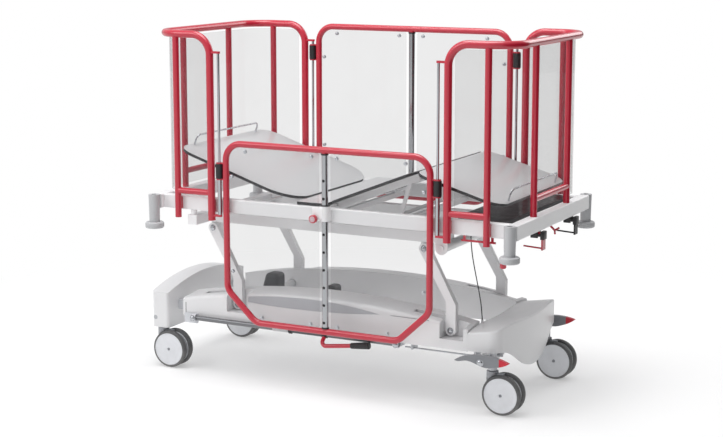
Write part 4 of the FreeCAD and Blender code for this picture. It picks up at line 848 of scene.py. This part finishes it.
# Small red hook between the levers, and the red cap under the near corner bumper
hook = {"top": (0.742, 0.043, 0.668), "knee": (0.775, 0.055, 0.632), "r": 0.0042,
        "tips": ((0.781, 0.041, 0.622), (0.786, 0.071, 0.640)), "tipR": 0.00378}
cap = {"place": (0.752, -0.393, 0.5885), "r": 0.0115, "tall": 0.021,
       "outline": ((0.0, 0.0), (0.0, 1.0), (0.75, 1.0), (0.93, 0.85), (1.0, 0.5), (1.0, 0.0))}


def addHookAndCap():
    rods = [rodBetween(hook["top"], hook["knee"], hook["r"])]
    rods += [rodBetween(hook["knee"], tip, hook["tipR"]) for tip in hook["tips"]]
    settle(joined(rods), "redHook", "redPaint", "bed")
    outline = [(-cap["tall"] * down, cap["r"] * wide) for down, wide in cap["outline"]]
    addTurned("redCap", outline, "Z", [cap["place"]], "redPaint", "bed")


# Sunk panel, coloured darker than the cover, groove, slot and plug on the base covers; the groove and the
# slot are painted shade, flat strips laid on the wall
trim = {"lensX": (-0.3595, 0.2175), "lensStart": (0.3065, 0.3285), "lensMiddle": (0.3025, 0.3465),
        "lensTip": 0.321, "arcSteps": 28, "lensY": (0.2930, 0.2936), "wallY": 0.2950, "proud": 0.0004,
        "lineHalf": 0.0011, "grooveShade": ((0.262, 0.3225), (0.420, 0.3215)), "slot": (-0.6495, 0.228, 0.276),
        "slotFoot": ((0.005, 0.004), (0.004, 0.007), 0.003), "plug": (-0.797, 0.2948, 0.198),
        "plugOutline": ((0.0, 0.0), (0.0, 0.0088), (0.0004, 0.0088), (0.0008, 0.00792), (0.0009, 0.0))}


def slab(outline, y0, y1):
    return thicken(polygon([(x, y0, z) for x, z in outline]), (0.0, y1 - y0, 0.0))


def lensOutline():
    left, right = trim["lensX"]
    middle = (left + right) / 2
    (startLow, startHigh), (low, high) = trim["lensStart"], trim["lensMiddle"]
    tip = (right, trim["lensTip"])
    over = arcThrough((left, startHigh), (middle, high), tip, trim["arcSteps"])
    return over[:-1] + arcThrough(tip, (middle, low), (left, startLow), trim["arcSteps"])


def addCoverTrim():
    lens, half = lensOutline(), trim["lineHalf"]
    # the groove is painted shade: a flat grey strip, a little proud of the wall
    (start, startZ), (end, endZ) = trim["grooveShade"]
    grooveShade = [(start, startZ - half), (end, endZ - half), (end, endZ + half), (start, startZ + half)]
    # the slot is painted shade: a flat black strip with a small foot, a little proud of the wall
    x, low, high = trim["slot"]
    (toeX, toeZ), (heelX, heelZ), rise = trim["slotFoot"]
    slot = [(x - half, low), (x + half, low), (x + half, high), (x - half, high)]
    foot = [(x - half, low - half), (x + toeX, low + toeZ), (x + heelX, low + heelZ), (x - half, low + rise)]
    plugX, plugY, plugZ = trim["plug"]
    for side, word in ((-1.0, "near"), (1.0, "far")):
        floorY, faceY = (side * y for y in trim["lensY"])
        wall, proud = side * trim["wallY"], side * (trim["wallY"] + trim["proud"])
        # the sunk panel is coloured darker than the cover around it
        settle(slab(lens, floorY, faceY), "coverInset_" + word, "coverInset", "base")
        settle(slab(grooveShade, wall, proud), "coverGroove_" + word, "coverLine", "base")
        marks = joined([slab(slot, wall, proud), slab(foot, wall, proud)])
        settle(marks, "coverSlot_" + word, "blackPlastic", "base")
        centres = [(plugX, side * plugY, plugZ, side)]
        addTurned("coverPlug_" + word, trim["plugOutline"], "Y", centres, "coverInset", "base")


addBolts()
addCollars()
addHoleShadeRings()
addKnobDiscs()
addBarFittings()
addLeverParts()
addHookAndCap()
addCoverTrim()
print("stage: bolts, collars, knobs, bar, levers, cover trim")


# Laminate boards of the moving sections, with wide round corners: along is the distance from the hinge
boards = {"half": 0.338, "low": 0.0093, "thick": 0.012, "edge": 0.0012, "edgeAngle": 60.0, "steps": 12,
          "back": {"hinge": (-0.117, 0.711), "lean": -18.0, "along": (-0.016, -0.567),
                   "corners": (0.130, 0.070), "node": "back_board", "body": "back"},
          "thigh": {"hinge": (0.006, 0.711), "lean": 21.6, "along": (0.0086, 0.394),
                    "corners": (0.080, 0.050), "node": "thigh_board", "body": "thigh"},
          "leg": {"hinge": (0.37326, 0.85641), "lean": -16.0, "along": (0.001, 0.353),
                  "corners": (0.050, 0.070), "node": "leg_board", "body": "lower_leg"}}


def boardOutline(section):
    # (along, across) points, each corner a quarter turn
    start, end = section["along"]
    startR, endR = section["corners"]
    away = 1.0 if end > start else -1.0
    outline = []
    for at, inward, radius, side, first in ((start, away, startR, -1, 180.0), (end, -away, endR, -1, 270.0),
                                            (end, -away, endR, 1, 0.0), (start, away, startR, 1, 90.0)):
        for step in range(boards["steps"] + 1):
            turn = math.radians(first + 90.0 * step / boards["steps"])
            outline.append((at + radius * (inward + away * math.cos(turn)),
                            side * (boards["half"] - radius) + radius * math.sin(turn)))
    return outline


def addBoard(key):
    section = boards[key]
    lean = math.radians(section["lean"])
    along, up = Vector((math.cos(lean), 0.0, math.sin(lean))), Vector((-math.sin(lean), 0.0, math.cos(lean)))
    underside = Vector((section["hinge"][0], 0.0, section["hinge"][1])) + up * boards["low"]
    plate = polygon([underside + along * s + Vector((0.0, y, 0.0)) for s, y in boardOutline(section)])
    thicken(plate, up * boards["thick"])
    bevel = plate.modifiers.new("edge", "BEVEL")
    bevel.width = boards["edge"]
    bevel.segments = detail["bevelSteps"]
    bevel.limit_method = "ANGLE"
    bevel.angle_limit = math.radians(boards["edgeAngle"])
    only(plate)
    bpy.ops.object.modifier_apply(modifier=bevel.name)
    settle(plate, key + "Board", "laminate", section["body"])
    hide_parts(section["node"])


for key in ("back", "thigh", "leg"):
    addBoard(key)
print("stage: boards")

print("stage: done")
